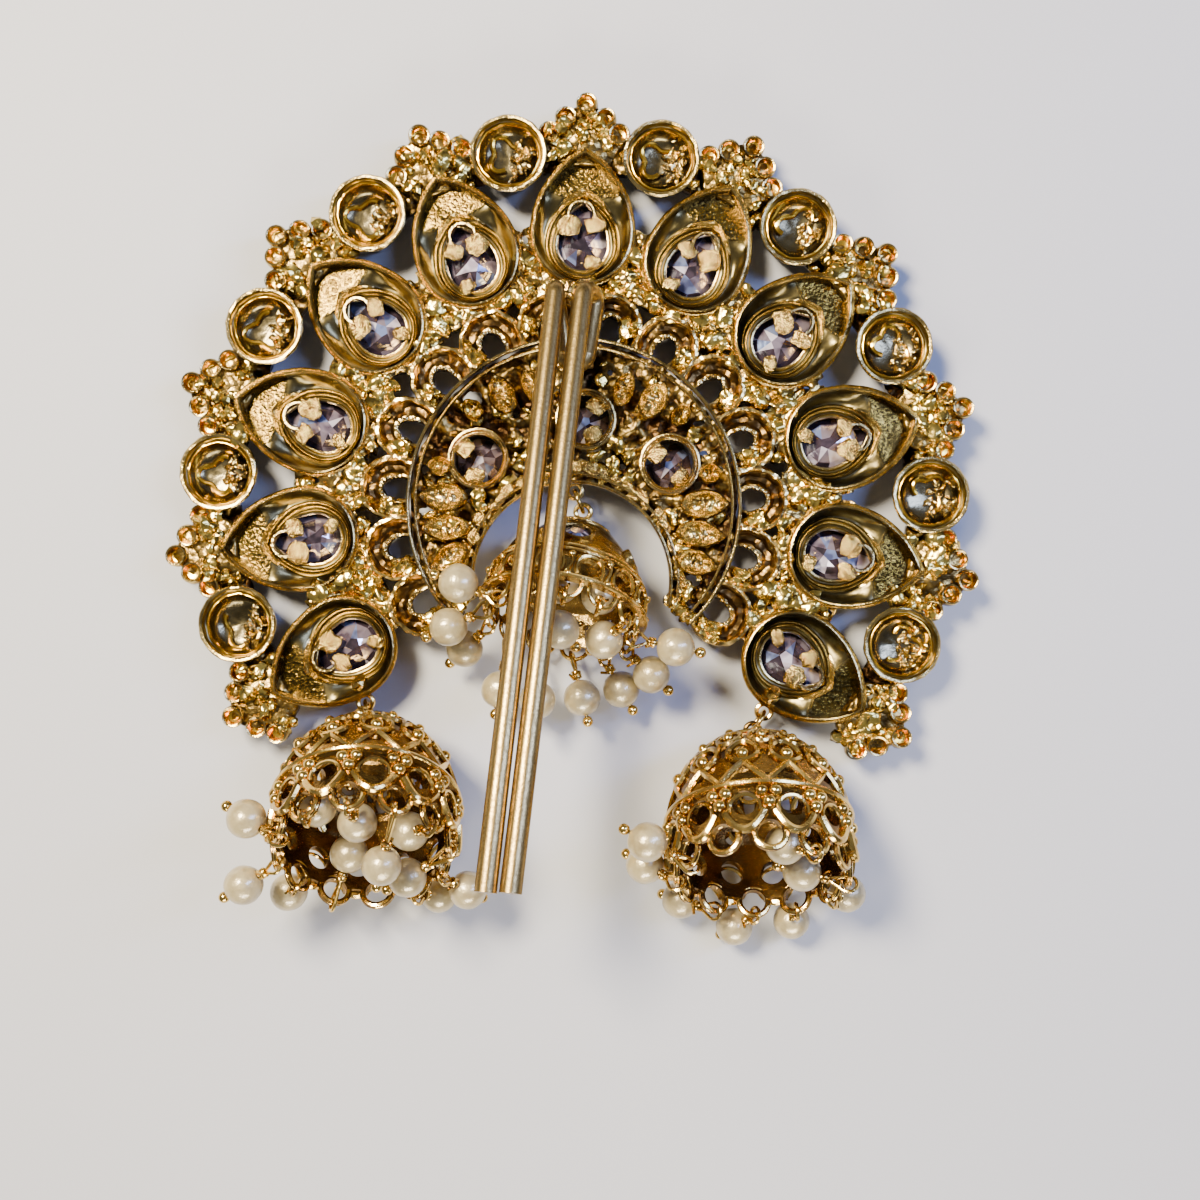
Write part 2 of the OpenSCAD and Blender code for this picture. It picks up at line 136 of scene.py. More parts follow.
class Tree:
    """The node tree of one material."""

    def __init__(self, name: str) -> None:
        """Makes the material and an empty tree."""
        self.material = bpy.data.materials.new(name)
        self.material.use_nodes = True
        self.tree = self.material.node_tree
        self.tree.nodes.clear()

    def node(
        self,
        kind: str,
        settings: Optional[dict] = None,
        inputs: Optional[dict] = None,
        out: Union[int, str] = 0,
    ) -> Signal:
        """Adds a node.

        Args:
            kind: the node's type.
            settings: its properties, set first.
            inputs: values or signals by socket name or number.
            out: the output that is returned.

        Returns:
            That output as a signal.
        """
        made = self.tree.nodes.new(kind)
        for key, value in (settings or {}).items():
            setattr(made, key, value)
        for key, value in (inputs or {}).items():
            if isinstance(value, Signal):
                self.tree.links.new(value.socket, made.inputs[key])
            else:
                made.inputs[key].default_value = value
        return Signal(self, made.outputs[out])

    def place(self) -> Signal:
        """Object coordinates."""
        return self.node("ShaderNodeTexCoord", out="Object")

    def height(self) -> Signal:
        """Height above the floor in millimetres."""
        return self.node("ShaderNodeSeparateXYZ", inputs={0: self.place()}, out="Z") * PER_METRE

    def noise(self, size: float, detail: float = 2.0, rough: float = 0.5) -> Signal:
        """Cloudy noise with features of a size in millimetres."""
        values = {"Vector": self.place(), "Scale": PER_METRE / size}
        values.update({"Detail": detail, "Roughness": rough})
        return self.node("ShaderNodeTexNoise", inputs=values)

    def cells(self, size: float) -> Signal:
        """Distance from the middles of cells of a size in millimetres."""
        values = {"Vector": self.place(), "Scale": PER_METRE / size}
        return self.node("ShaderNodeTexVoronoi", inputs=values, out="Distance")

    def blend(self, share: Union[float, Signal], start: Sequence, end: Sequence) -> Signal:
        """Colour between two, by a share."""
        first, second = (c if isinstance(c, Signal) else (*c, 1.0) for c in (start, end))
        values = {0: share, 6: first, 7: second}
        return self.node("ShaderNodeMix", {"data_type": "RGBA"}, values, 2)

    def bump(self, height: Signal, depth: float) -> Signal:
        """Surface normal from a height signal of a depth in millimetres."""
        return self.node("ShaderNodeBump", inputs={"Height": height, "Distance": depth * MM})

    def finish(self, **inputs: Union[float, Sequence, Signal]) -> bpy.types.Material:
        """Ends the tree in a shader.

        Args:
            inputs: the shader's values by socket name with _ for a space.

        Returns:
            The material.
        """
        values = {key.replace("_", " "): value for key, value in inputs.items()}
        shader = self.node("ShaderNodeBsdfPrincipled", inputs=values)
        end = self.tree.nodes.new("ShaderNodeOutputMaterial")
        self.tree.links.new(shader.socket, end.inputs["Surface"])
        return self.material


# Finishes

# Share of the clouds from which a stain begins, and from which it is full
STAINED = (0.42, 0.72)


@dataclass(frozen=True)
class CastGold:
    """Rough cast back: grainy gold plate with painted shade: dark below the height low and in the
    creases between grains, bright above high.
    """

    name: str = "rough_cast_gold"
    bright: tuple = (0.60, 0.39, 0.10)
    # Painted shade: the colour low down and in the creases, where shade falls
    painted_shade: tuple = (0.025, 0.012, 0.004)
    low: float = 3.3
    high: float = 4.8
    roughness: float = 0.16
    grain: float = 1.0
    depth: float = 0.2

    def material(self) -> bpy.types.Material:
        """Builds the finish."""
        tree = Tree(self.name)
        cells = tree.cells(self.grain)
        patches = tree.noise(1.4, 3.0, 0.6)
        # Painted shade: the colour runs to the shade colour below the height low and in the creases
        # between the cells
        raised = (tree.height() + (patches - 0.5) * 1.6).ramp(self.low, self.high)
        share = raised * (1.0 - cells.ramp(0.45, 0.85) * 0.75)
        colour = tree.blend(share, self.painted_shade, self.bright)
        rough = self.roughness + patches * 0.12 + (1.0 - raised) * 0.1
        grain = tree.noise(self.grain / 2.5, 2.0) * 0.3 - cells
        return tree.finish(
            Base_Color=colour, Metallic=1.0, Roughness=rough, Normal=tree.bump(grain, self.depth)
        )


@dataclass(frozen=True)
class SmoothGold:
    """Plated gold that was worked smooth, with a faint waviness and stains."""

    name: str
    colour: tuple
    stain: tuple
    roughness: float
    grain: float = 0.5
    depth: float = 0.02
    stain_size: float = 2.0

    def material(self) -> bpy.types.Material:
        """Builds the finish."""
        tree = Tree(self.name)
        clouds = tree.noise(self.stain_size, 4.0, 0.6)
        colour = tree.blend(clouds.ramp(*STAINED), self.colour, self.stain)
        rough = self.roughness + (clouds - 0.4) * 0.12
        surface = tree.noise(self.grain, 3.0, 0.6) + tree.noise(self.grain * 0.3, 2.0) * 0.35
        return tree.finish(
            Base_Color=colour, Metallic=1.0, Roughness=rough, Normal=tree.bump(surface, self.depth)
        )


@dataclass(frozen=True)
class DishGold:
    """Mirror-like olive gold with a sandy satin flat where the form's "satin" value says so."""

    name: str = "dish_gold"
    colour: tuple = (0.13, 0.10, 0.038)
    stain: tuple = (0.045, 0.034, 0.014)
    sand: tuple = (0.21, 0.132, 0.024)
    worn: tuple = (0.055, 0.033, 0.007)

    def material(self) -> bpy.types.Material:
        """Builds the finish."""
        tree = Tree(self.name)
        clouds = tree.noise(2.2, 4.0, 0.6)
        edge = tree.node("ShaderNodeAttribute", {"attribute_name": "satin"}, out="Fac")
        satin = (edge + (clouds - 0.5) * 0.8).ramp(0.36, 0.64)
        smooth = tree.blend(clouds.ramp(*STAINED), self.colour, self.stain)
        grit = tree.noise(0.36, 2.0, 0.6)
        sandy = tree.blend((grit * 0.6 + clouds * 0.6).ramp(0.48, 0.7), self.sand, self.worn)
        waves = tree.noise(0.8, 2.0) * (1.0 - satin) * 0.25
        return tree.finish(
            Base_Color=tree.blend(satin, smooth, sandy),
            Metallic=1.0,
            Roughness=0.24 + clouds * 0.12 - satin * 0.08,
            Normal=tree.bump(waves + grit * satin * 0.8, 0.12),
        )


@dataclass(frozen=True)
class BrushedWire:
    """Satin gold wire with fine marks along its length."""

    name: str = "satin_fork_gold"
    colour: tuple = (0.34, 0.23, 0.08)
    worn: tuple = (0.19, 0.12, 0.038)
    roughness: float = 0.25
    marks_per_metre: float = 6000.0
    drawn_out: tuple = (1.0, 0.05, 1.0)

    def material(self) -> bpy.types.Material:
        """Builds the finish."""
        tree = Tree(self.name)
        values = {"Vector": tree.place(), "Scale": self.drawn_out}
        along = tree.node("ShaderNodeMapping", {"vector_type": "POINT"}, values)
        values = {"Vector": along, "Scale": self.marks_per_metre, "Detail": 3.0}
        marks = tree.node("ShaderNodeTexNoise", inputs=values)
        speckle = tree.noise(0.22, 2.0)
        colour = tree.blend((marks * 0.6 + speckle * 0.5).ramp(0.45, 0.75), self.colour, self.worn)
        rough = self.roughness + marks * 0.14
        surface = marks * 0.5 + speckle
        return tree.finish(
            Base_Color=colour, Metallic=1.0, Roughness=rough, Normal=tree.bump(surface, 0.016)
        )


@dataclass(frozen=True)
class StoneGlass:
    """Lavender grey cut stone."""

    name: str
    colour: tuple
    deep: tuple
    metallic: float = 0.6

    def material(self) -> bpy.types.Material:
        """Builds the finish."""
        tree = Tree(self.name)
        depths = tree.noise(1.1, 1.0).ramp(0.4, 0.65)
        colour = tree.blend(depths, self.colour, self.deep)
        return tree.finish(
            Base_Color=colour,
            Metallic=self.metallic,
            Roughness=0.05,
            IOR=1.75,
            Coat_Weight=1.0,
            Coat_Roughness=0.02,
        )


@dataclass(frozen=True)
class PearlCoat:
    """Cream pearl with a soft lustre and faint wrinkles."""

    name: str = "cream_pearl"
    colour: tuple = (0.47, 0.375, 0.185)
    shade: tuple = (0.31, 0.235, 0.105)

    def material(self) -> bpy.types.Material:
        """Builds the finish."""
        tree = Tree(self.name)
        clouds = tree.noise(1.3, 3.0)
        colour = tree.blend(clouds.ramp(0.38, 0.75), self.colour, self.shade)
        wrinkles = tree.noise(0.9, 2.0) + tree.noise(0.35, 3.0) * 0.35
        return tree.finish(
            Base_Color=colour,
            Roughness=0.26 + clouds * 0.14,
            Metallic=0.4,
            Subsurface_Weight=0.1,
            Subsurface_Radius=(0.001, 0.0008, 0.0006),
            Coat_Weight=0.7,
            Coat_Roughness=0.16,
            Normal=tree.bump(wrinkles, 0.1),
        )


@dataclass(frozen=True)
class PaleFloor:
    """Plain pale floor."""

    name: str = "pale_floor"
    colour: tuple = (0.41, 0.40, 0.385)
    lighter: tuple = (0.43, 0.42, 0.405)

    def material(self) -> bpy.types.Material:
        """Builds the finish."""
        tree = Tree(self.name)
        colour = tree.blend(tree.noise(60.0, 2.0), self.colour, self.lighter)
        return tree.finish(Base_Color=colour, Roughness=0.7)


class Finishes:
    """All finishes, made once."""

    def __init__(self) -> None:
        """Builds every material."""
        self.cast = CastGold().material()
        # The nugget and lace finishes paint shade the same way, each with its own shade colour and
        # heights
        self.web = CastGold(
            "nugget_gold", (0.83, 0.59, 0.135), (0.05, 0.026, 0.007), 3.4, 4.3, 0.14, 0.9, 0.1
        ).material()
        self.lace = CastGold(
            "lace_gold", (0.82, 0.56, 0.17), (0.10, 0.055, 0.016), 3.7, 4.55, 0.16, 0.8, 0.08
        ).material()
        self.rim = SmoothGold(
            "rim_gold", (0.62, 0.45, 0.16), (0.19, 0.13, 0.04), 0.17, 0.3, 0.04
        ).material()
        self.dish = DishGold().material()
        self.tab = SmoothGold(
            "tab_gold", (0.55, 0.355, 0.085), (0.20, 0.115, 0.026), 0.18, 0.35, 0.2, 0.7
        ).material()
        self.bowl = SmoothGold(
            "bowl_gold", (0.19, 0.15, 0.07), (0.07, 0.054, 0.025), 0.22
        ).material()
        self.amber = SmoothGold(
            "amber_gold", (0.92, 0.54, 0.06), (0.52, 0.27, 0.03), 0.17
        ).material()
        self.wire = SmoothGold(
            "wire_gold", (0.84, 0.57, 0.16), (0.40, 0.235, 0.055), 0.15, 0.4, 0.02
        ).material()
        self.shell = SmoothGold(
            "bell_shell_gold", (0.27, 0.15, 0.035), (0.07, 0.036, 0.01), 0.2, 0.6, 0.05
        ).material()
        self.cone = SmoothGold(
            "cap_shell_gold", (0.44, 0.28, 0.075), (0.12, 0.068, 0.018), 0.2, 0.5, 0.05
        ).material()
        self.fork = BrushedWire().material()
        self.solder = SmoothGold(
            "solder", (0.90, 0.62, 0.26), (0.40, 0.23, 0.07), 0.28, 0.3, 0.08
        ).material()
        # The dark and grey tones are the stone's own; the pale tone paints highlights and the blue
        # tone paints a reflection of the blue lamp on random facets
        self.stones = [
            StoneGlass("stone_dark", (0.09, 0.06, 0.075), (0.03, 0.02, 0.026)).material(),
            StoneGlass("stone_grey", (0.34, 0.265, 0.295), (0.14, 0.10, 0.125)).material(),
            StoneGlass("stone_painted_highlight", (0.78, 0.68, 0.70), (0.46, 0.37, 0.40), 0.4).material(),
            StoneGlass("stone_painted_blue_reflection", (0.27, 0.33, 0.55), (0.11, 0.12, 0.22)).material(),
        ]
        self.pearl = PearlCoat().material()

    def palette(self, tones: type[IntEnum]) -> list[bpy.types.Material]:
        """Finishes named by an enum, in the order of its numbers."""
        return [getattr(self, tone.name.lower()) for tone in tones]


# Material numbers of the pieces, each named for its finish
FanTone = IntEnum("FanTone", "CAST RIM DISH TAB AMBER BOWL WEB", start=0)
WebTone = IntEnum("WebTone", "WEB CAST", start=0)
CrescentTone = IntEnum("CrescentTone", "WEB RIM TAB LACE CAST", start=0)
CapTone = IntEnum("CapTone", "CONE WIRE", start=0)
SolderTone = IntEnum("SolderTone", "SOLDER SHELL", start=0)


# Modelling helpers


def turn(angle: float, axis: str) -> Matrix:
    """Turn about an axis in degrees."""
    return Matrix.Rotation(radians(angle), 4, axis)


def shift(x: float = 0.0, y: float = 0.0, z: float = 0.0) -> Matrix:
    """Move by a distance."""
    return Matrix.Translation((x, y, z))


def stretch(x: float, y: float, z: float) -> Matrix:
    """Scale along the axes."""
    return Matrix.Diagonal((x, y, z, 1.0))


def spoke(angle: float, reach: float, z: float = 0.0) -> Matrix:
    """Place at an angle from the fan's top and a distance from its centre."""
    return turn(angle, "Z") @ shift(0.0, reach, z)


def polar(angle: float, reach: float, z: float = 0.0, y: float = 0.0) -> Vector:
    """Point at an angle from +Y and a distance from the axis, moved by y."""
    turned = radians(angle)
    return Vector((-reach * math.sin(turned), y + reach * math.cos(turned), z))


def settle(bm: bmesh.types.BMesh, name: str = "form") -> Form:
    """Closes a bmesh into a mesh with its faces outwards.

    Args:
        bm: the shape, freed here.
        name: name of the mesh.

    Returns:
        The mesh.
    """
    bmesh.ops.remove_doubles(bm, verts=bm.verts, dist=MERGE)
    bmesh.ops.recalc_face_normals(bm, faces=bm.faces)
    form = bpy.data.meshes.new(name)
    bm.to_mesh(form)
    bm.free()
    return form


def loft(
    rings: Sequence[Sequence[Vector]], bands: Sequence[int] = (), closed: bool = False
) -> Form:
    """Carries a loop of edges through rings of points.

    Args:
        rings: equal rings of points, in order.
        bands: material number of each band between two rings.
        closed: whether the last ring runs on into the first, or both ends are capped.

    Returns:
        The mesh.
    """
    bm = bmesh.new()
    side = len(rings[0])
    bmesh.ops.create_circle(bm, segments=side, radius=1.0)
    bm.verts.ensure_lookup_table()
    order = {vert: i for i, vert in enumerate(bm.verts)}
    for vert, i in order.items():
        vert.co = rings[0][i]
    edges = list(bm.edges)
    if not closed:
        bm.faces.new(list(order))
    route = [*rings[1:], rings[0]] if closed else rings[1:]
    for band, ring in enumerate(route):
        made = bmesh.ops.extrude_edge_only(bm, edges=edges)["geom"]
        fresh = {}
        for vert in (item for item in made if isinstance(item, bmesh.types.BMVert)):
            ends = (edge.other_vert(vert) for edge in vert.link_edges)
            fresh[vert] = order[next(end for end in ends if end in order)]
        for face in (item for item in made if isinstance(item, bmesh.types.BMFace)):
            face.material_index = bands[band] if band < len(bands) else 0
        edges = [item for item in made if isinstance(item, bmesh.types.BMEdge)]
        edges = [edge for edge in edges if all(vert in fresh for vert in edge.verts)]
        for vert, i in fresh.items():
            vert.co = ring[i]
        order = fresh
    if not closed:
        last = bm.faces.new(sorted(order, key=order.get))
        last.material_index = bands[-1] if bands else 0
    return settle(bm)


def tube(
    path: Sequence[Vector], radius: float, sides: int = 8, closed: bool = False, flat: float = 1.0
) -> Form:
    """Round or oval wire along a path.

    Args:
        path: points of its middle line.
        radius: radius of the wire.
        sides: faces round it.
        closed: whether it is a ring.
        flat: its height as a share of its width.

    Returns:
        The mesh.
    """
    count = len(path)
    rings = []
    across = None
    before = None
    for i, point in enumerate(path):
        ahead = path[(i + 1) % count] if closed else path[min(i + 1, count - 1)]
        back = path[i - 1] if closed or i else path[0]
        along = (Vector(ahead) - Vector(back)).normalized()
        if across is None:
            guide = Vector((0, 0, 1)) if abs(along.z) < 0.9 else Vector((1, 0, 0))
            across = along.cross(guide).normalized()
        else:
            across = before.rotation_difference(along) @ across
        before = along
        up = across.cross(along)
        rings.append([
            Vector(point)
            + across * radius * math.cos(2 * math.pi * k / sides)
            + up * radius * flat * math.sin(2 * math.pi * k / sides)
            for k in range(sides)
        ])
    return loft(rings, closed=closed)


def arc(
    radius: float, start: float, end: float, steps: int, z: float = 0.0, y: float = 0.0
) -> list[Vector]:
    """Points of an arc about Z, with angles from +Y, moved by y."""
    angles = (start + (end - start) * i / steps for i in range(steps + 1))
    return [polar(angle, radius, z, y) for angle in angles]


def hoop(radius: float, wire: float, steps: int = 24, sides: int = 8) -> Form:
    """A wire ring about Z."""
    return tube(arc(radius, 0.0, 360.0, steps)[:-1], wire, sides, closed=True)


def eye() -> Form:
    """A cast eye for a jump ring."""
    return hoop(0.75, 0.25)


def lathe(
    profile: Sequence[Flat],
    steps: int,
    closed: bool = False,
    rule: Optional[Callable[[Vector], int]] = None,
) -> Form:
    """Turns a half section about Z.

    Args:
        profile: radius and height of each corner.
        steps: faces round it.
        closed: whether the section is a closed loop, as for a ring.
        rule: gives a face's material number from its centre.

    Returns:
        The mesh.
    """
    bm = bmesh.new()
    verts = [bm.verts.new((r, 0.0, z)) for r, z in profile]
    pairs = list(zip(verts, verts[1:]))
    if closed:
        pairs.append((verts[-1], verts[0]))
    edges = [bm.edges.new(pair) for pair in pairs]
    bmesh.ops.spin(
        bm,
        geom=verts + edges,
        axis=(0, 0, 1),
        cent=(0, 0, 0),
        angle=2 * math.pi,
        steps=steps,
        use_merge=True,
    )
    for face in bm.faces:
        if rule:
            face.material_index = rule(face.calc_center_median())
    return settle(bm)


def stir(verts: Iterable, amount: float, grain: float, offset: Vector) -> None:
    """Moves points by noise, with lumps of a size, read at an offset."""
    for vert in verts:
        vert.co += noise.noise_vector(vert.co / grain + offset) * amount


def roughened(form: Form, amount: float, grain: float, seed: int) -> Form:
    """Moves a form's points by noise.

    Args:
        form: the mesh, changed in place.
        amount: how far points move at most.
        grain: size of the lumps.
        seed: picks the noise.

    Returns:
        The same mesh.
    """
    stir(form.vertices, amount, grain, Vector((seed * 7.3, seed * 3.1, seed * 5.7)))
    return form


def nugget(seed: int) -> Form:
    """Small lump of a few dozen faces, of radius 1."""
    bm = bmesh.new()
    bmesh.ops.create_icosphere(bm, subdivisions=2, radius=1.0)
    return roughened(settle(bm), 0.55, 0.7, seed)


def tab_form(seed: int) -> Form:
    """Folded tab: a thin plate with torn edges, about 1 across and 0.2 thick."""
    half, squareness = 0.5, 0.6
    bm = bmesh.new()
    bmesh.ops.create_icosphere(bm, subdivisions=3, radius=half)
    form = settle(bm)
    for vert in form.vertices:
        for i in range(2):
            reach = half * abs(vert.co[i] / half) ** squareness
            vert.co[i] = math.copysign(reach, vert.co[i])
        vert.co.z = vert.co.z * 0.32 + 0.16 * math.cos(3 * vert.co.x)
    return roughened(form, 0.15, 0.3, seed)


def smooth_border(bm: bmesh.types.BMesh, rounds: int, inside: float = math.inf) -> None:
    """Evens out the stepped edges that deleted faces leave.

    Args:
        bm: the flat sheet.
        rounds: how often its border is smoothed.
        inside: points as far out as this along X or Y stay where they are.
    """
    for _ in range(rounds):
        border = [
            vert
            for vert in bm.verts
            if vert.is_boundary and max(abs(vert.co.x), abs(vert.co.y)) < inside
        ]
        bmesh.ops.smooth_vert(bm, verts=border, factor=0.5, use_axis_x=True, use_axis_y=True)


def cast_sheet(bm: bmesh.types.BMesh, low: float, high: float, seed: int) -> Form:
    """Smooths a flat sheet's edges, thickens it and roughens its back.

    Args:
        bm: the flat sheet.
        low: its lower height.
        high: its upper height.
        seed: picks the noise.

    Returns:
        The mesh.
    """
    smooth_border(bm, 3)
    bmesh.ops.recalc_face_normals(bm, faces=bm.faces)
    bmesh.ops.solidify(bm, geom=bm.faces[:], thickness=high - low)
    lowest = min(vert.co.z for vert in bm.verts)
    offset = Vector((seed * 4.1, seed * 2.3, 0.0))
    for vert in bm.verts:
        vert.co.z += low - lowest
        if vert.co.z > (low + high) / 2:
            place = vert.co + offset
            lumps = noise.noise(place / 1.5) * 0.8 + abs(noise.noise(place / 0.8)) * 0.5
            vert.co.z += lumps - 0.2
    stir(bm.verts, 0.15, 1.0, offset)
    return settle(bm)


def bead(radius: float, rings: int = 8, segments: int = 12) -> Form:
    """Smooth ball."""
    bm = bmesh.new()
    bmesh.ops.create_uvsphere(bm, u_segments=segments, v_segments=rings, radius=radius)
    return settle(bm)


class Chance(random.Random):
    """Seeded draws for what is set down by hand."""

    def about(self, spread: float) -> float:
        """A number up to a spread either side of zero."""
        return self.uniform(-spread, spread)

    def lean(self, spread: float, axis: str) -> Matrix:
        """A turn about an axis, up to a spread in degrees either way."""
        return turn(self.about(spread), axis)

    def spin(self, axis: str = "Z") -> Matrix:
        """A turn about an axis by any angle."""
        return turn(self.uniform(0, 360), axis)


class Piece:
    """One piece of the dressed pin, gathered in millimetres."""

    def __init__(self, name: str) -> None:
        """Starts an empty piece."""
        self.name = name
        self.bm = bmesh.new()

    def add(
        self, form: Form, place: Optional[Matrix] = None, material: Optional[int] = None
    ) -> None:
        """Adds a copy of a form.

        Args:
            form: the mesh.
            place: where it goes.
            material: material number of the copy, if not its own.
        """
        copy = form.copy()
        if place is not None:
            copy.transform(place)
            if place.determinant() < 0:
                copy.flip_normals()
        if material is not None:
            copy.polygons.foreach_set("material_index", [material] * len(copy.polygons))
        self.bm.from_mesh(copy)
        bpy.data.meshes.remove(copy)

    def rest(self) -> None:
        """Flattens what would reach below the floor."""
        for vert in self.bm.verts:
            vert.co.z = max(vert.co.z, LOWEST)

    def set_down(
        self,
        finishes: Sequence[bpy.types.Material],
        slot: str,
        replaces: Iterable[str] = (),
        crease: float = SMOOTH_CREASE,
    ) -> None:
        """Sets the piece in the part's frame.

        Args:
            finishes: its materials, in the order of their numbers.
            slot: a material slot's name; not used.
            replaces: names of the nodes that it stands for.
            crease: angle from which an edge stays sharp.
        """
        bmesh.ops.transform(self.bm, matrix=TO_FRAME, verts=self.bm.verts)
        mesh = bpy.data.meshes.new(self.name)
        self.bm.to_mesh(mesh)
        self.bm.free()
        for finish in finishes:
            mesh.materials.append(finish)
        mesh.shade_smooth()
        mesh.set_sharp_from_angle(angle=radians(crease))
        obj = bpy.data.objects.new(self.name, mesh)
        bpy.context.scene.collection.objects.link(obj)
        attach(obj, "root")
        names = tuple(replaces)
        if names:
            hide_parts(*names)
        LOG.info("%s: %d faces", self.name, len(mesh.polygons))


# Fan, crescent and stones


def pear_outline(a: float, h: float) -> list[Flat]:
    """Outline of a pear: a half circle, and two flank arcs that meet in a tip.

    Args:
        a: half width.
        h: distance of the tip from the half circle's middle.

    Returns:
        Its points.
    """
    round_steps, flank_steps = 32, 16
    flank = (a * a + h * h) / (2 * a)
    top = math.asin(h / flank)
    points = [
        (a * math.cos(t), a * math.sin(t))
        for t in (math.pi + math.pi * i / round_steps for i in range(round_steps + 1))
    ]
    rise = [top * i / flank_steps for i in range(1, flank_steps + 1)]
    points += [(a - flank + flank * math.cos(t), flank * math.sin(t)) for t in rise]
    points += [(flank - a - flank * math.cos(t), flank * math.sin(t)) for t in rise[-2::-1]]
    return points


def in_pear(x: float, y: float, a: float, h: float) -> bool:
    """Whether a point lies in the pear of pear_outline."""
    if y <= 0:
        return x * x + y * y < a * a
    flank = (a * a + h * h) / (2 * a)
    return y < h and math.hypot(abs(x) + flank - a, y) < flank


@dataclass(frozen=True)
class LaceRow:
    """Row of lace arches round the crescent."""

    count: int = 14
    step: float = 19.2
    reach: float = 18.2
    radius: float = 3.25

    def angle(self, i: int) -> float:
        """Angle of an arch from the fan's top."""
        return (i - (self.count - 1) / 2) * -self.step

    def holds(self, x: float, y: float, grow: float) -> bool:
        """Whether a point lies in an arch, grown by a distance."""
        spot = Vector((x, y, 0.0))
        return any(
            (spot - spoke(self.angle(i), self.reach).translation).length < self.radius + grow
            for i in range(self.count)
        )


LACE = LaceRow()


@dataclass
class FanPlate:
    """Cast back: pear settings, cups, granules and the sheet between them."""

    pear_count: int = 11
    pear_step: float = 24.75
    pear_reach: float = 26.9
    pear_half: float = 5.3
    pear_tip: float = 8.7
    cup_reach: float = 35.5
    cup_r: float = 3.85
    web_z: float = 2.6
    web_top: float = 3.5
    web_end: float = 127.0
    web_grid: float = 0.33
    gap_grain: float = 2.1
    web_lumps: int = 300
    inner_lumps: int = 210
    bowl_lumps: int = 26
    tip_lumps: int = 16
    tab_kinds: int = 6
    lump_kinds: int = 8
    shake: float = 0.15
    seed: int = 11

    # Rings of a dish: half width off, tip length off, shift, height, finish of the band after it
    dish_rings = (
        (1.40, 2.00, 0.50, 0.50, FanTone.CAST),
        (0.30, 0.45, 0.10, 3.90, FanTone.CAST),
        (0.05, 0.10, 0.00, 4.50, FanTone.RIM),
        (0.00, 0.00, 0.00, 4.78, FanTone.RIM),
        (0.12, 0.16, 0.00, 4.90, FanTone.RIM),
        (0.25, 0.34, 0.00, 4.74, FanTone.RIM),
        (0.33, 0.46, 0.00, 5.04, FanTone.RIM),
        (0.46, 0.62, 0.00, 5.10, FanTone.RIM),
        (0.55, 0.78, 0.02, 4.80, FanTone.DISH),
        (0.62, 0.92, 0.03, 4.10, FanTone.DISH),
        (0.76, 1.20, 0.07, 3.70, FanTone.DISH),
        (0.94, 1.65, 0.15, 3.35, FanTone.DISH),
        (1.15, 2.20, 0.27, 3.10, FanTone.DISH),
        (1.36, 2.85, 0.40, 2.96, FanTone.DISH),
        (1.50, 3.30, 0.50, 3.00, FanTone.RIM),
        (1.58, 3.55, 0.56, 3.36, FanTone.RIM),
        (1.68, 3.75, 0.60, 3.52, FanTone.RIM),
        (1.79, 3.88, 0.62, 3.34, FanTone.DISH),
        (1.87, 3.95, 0.64, 3.08, FanTone.RIM),
        (1.96, 4.05, 0.66, 3.26, FanTone.RIM),
        (2.06, 4.12, 0.68, 3.32, FanTone.RIM),
        (2.17, 4.20, 0.70, 3.20, FanTone.DISH),
        (2.30, 4.26, 0.70, 2.96, FanTone.DISH),
        (2.42, 4.32, 0.70, 2.92, FanTone.RIM),
        (2.52, 4.37, 0.70, 3.10, FanTone.RIM),
        (2.64, 4.42, 0.70, 3.22, FanTone.RIM),
        (2.78, 4.47, 0.70, 3.18, FanTone.RIM),
        (2.88, 4.52, 0.70, 2.92, FanTone.RIM),
        (2.88, 4.52, 0.70, 2.48, FanTone.CAST),
        (2.20, 4.25, 0.70, 2.42, FanTone.CAST),
        (2.20, 3.10, 0.70, 2.38, FanTone.CAST),
        (2.20, 3.10, 0.70, 0.50, FanTone.CAST),
    )
    # The rings whose wall rises to a flat, and where the flat starts, its run, height and slope
    flat_rings = slice(9, 15)
    flat = (1.8, 2.6, 4.3, 0.13)
    # Where the satin starts, how far it bends back at the sides, and how soft its edge is
    satin = (3.75, 0.05, 0.6)
    # Lip beside a window: radius, half angle, steps, height, distance towards the tip
    lip = (1.3, 112, 22, 3.34, 2.35)
    # Folded tabs on a dish: x, y, width, length, turn
    tabs = (
        (1.25, 1.15, 2.2, 2.1, 15.0), (-1.2, 1.3, 1.9, 1.6, -25.0), (-1.2, -2.6, 1.7, 1.3, 40.0),
    )
    # Half sections of a cup and of a granule: radius and height
    cup_profile = (
        (0.0, 0.4), (2.8, 1.1), (3.62, 4.3), (3.85, 4.75), (3.84, 4.98), (3.7, 5.1), (3.48, 5.06),
        (3.34, 4.8), (3.3, 4.45), (3.22, 4.4), (3.12, 4.5), (3.0, 4.52), (2.9, 4.35), (2.82, 4.0),
        (2.6, 3.45), (2.2, 3.1), (1.5, 2.9), (0.8, 2.82), (0.0, 2.8),
    )
    granule_profile = (
        (0.0, 2.7), (0.95, 2.7), (1.12, 3.6), (1.1, 4.5), (1.0, 4.68), (0.84, 4.62), (0.76, 4.3),
        (0.6, 3.9), (0.0, 3.8),
    )
    granule_spots = ((1.9, 38.6), (-1.9, 38.6), (3.5, 37.1), (-3.5, 37.1), (0.0, 40.0))
    # Outline, height and thickness of the sheet under a tip's granules
    tip_outline = (
        (-4.2, 36.6), (-2, 39.3), (0, 40.6), (2, 39.3), (4.2, 36.6), (2.6, 34), (-2.6, 34),
    )
    tip_z, tip_thick = 2.8, 1.2
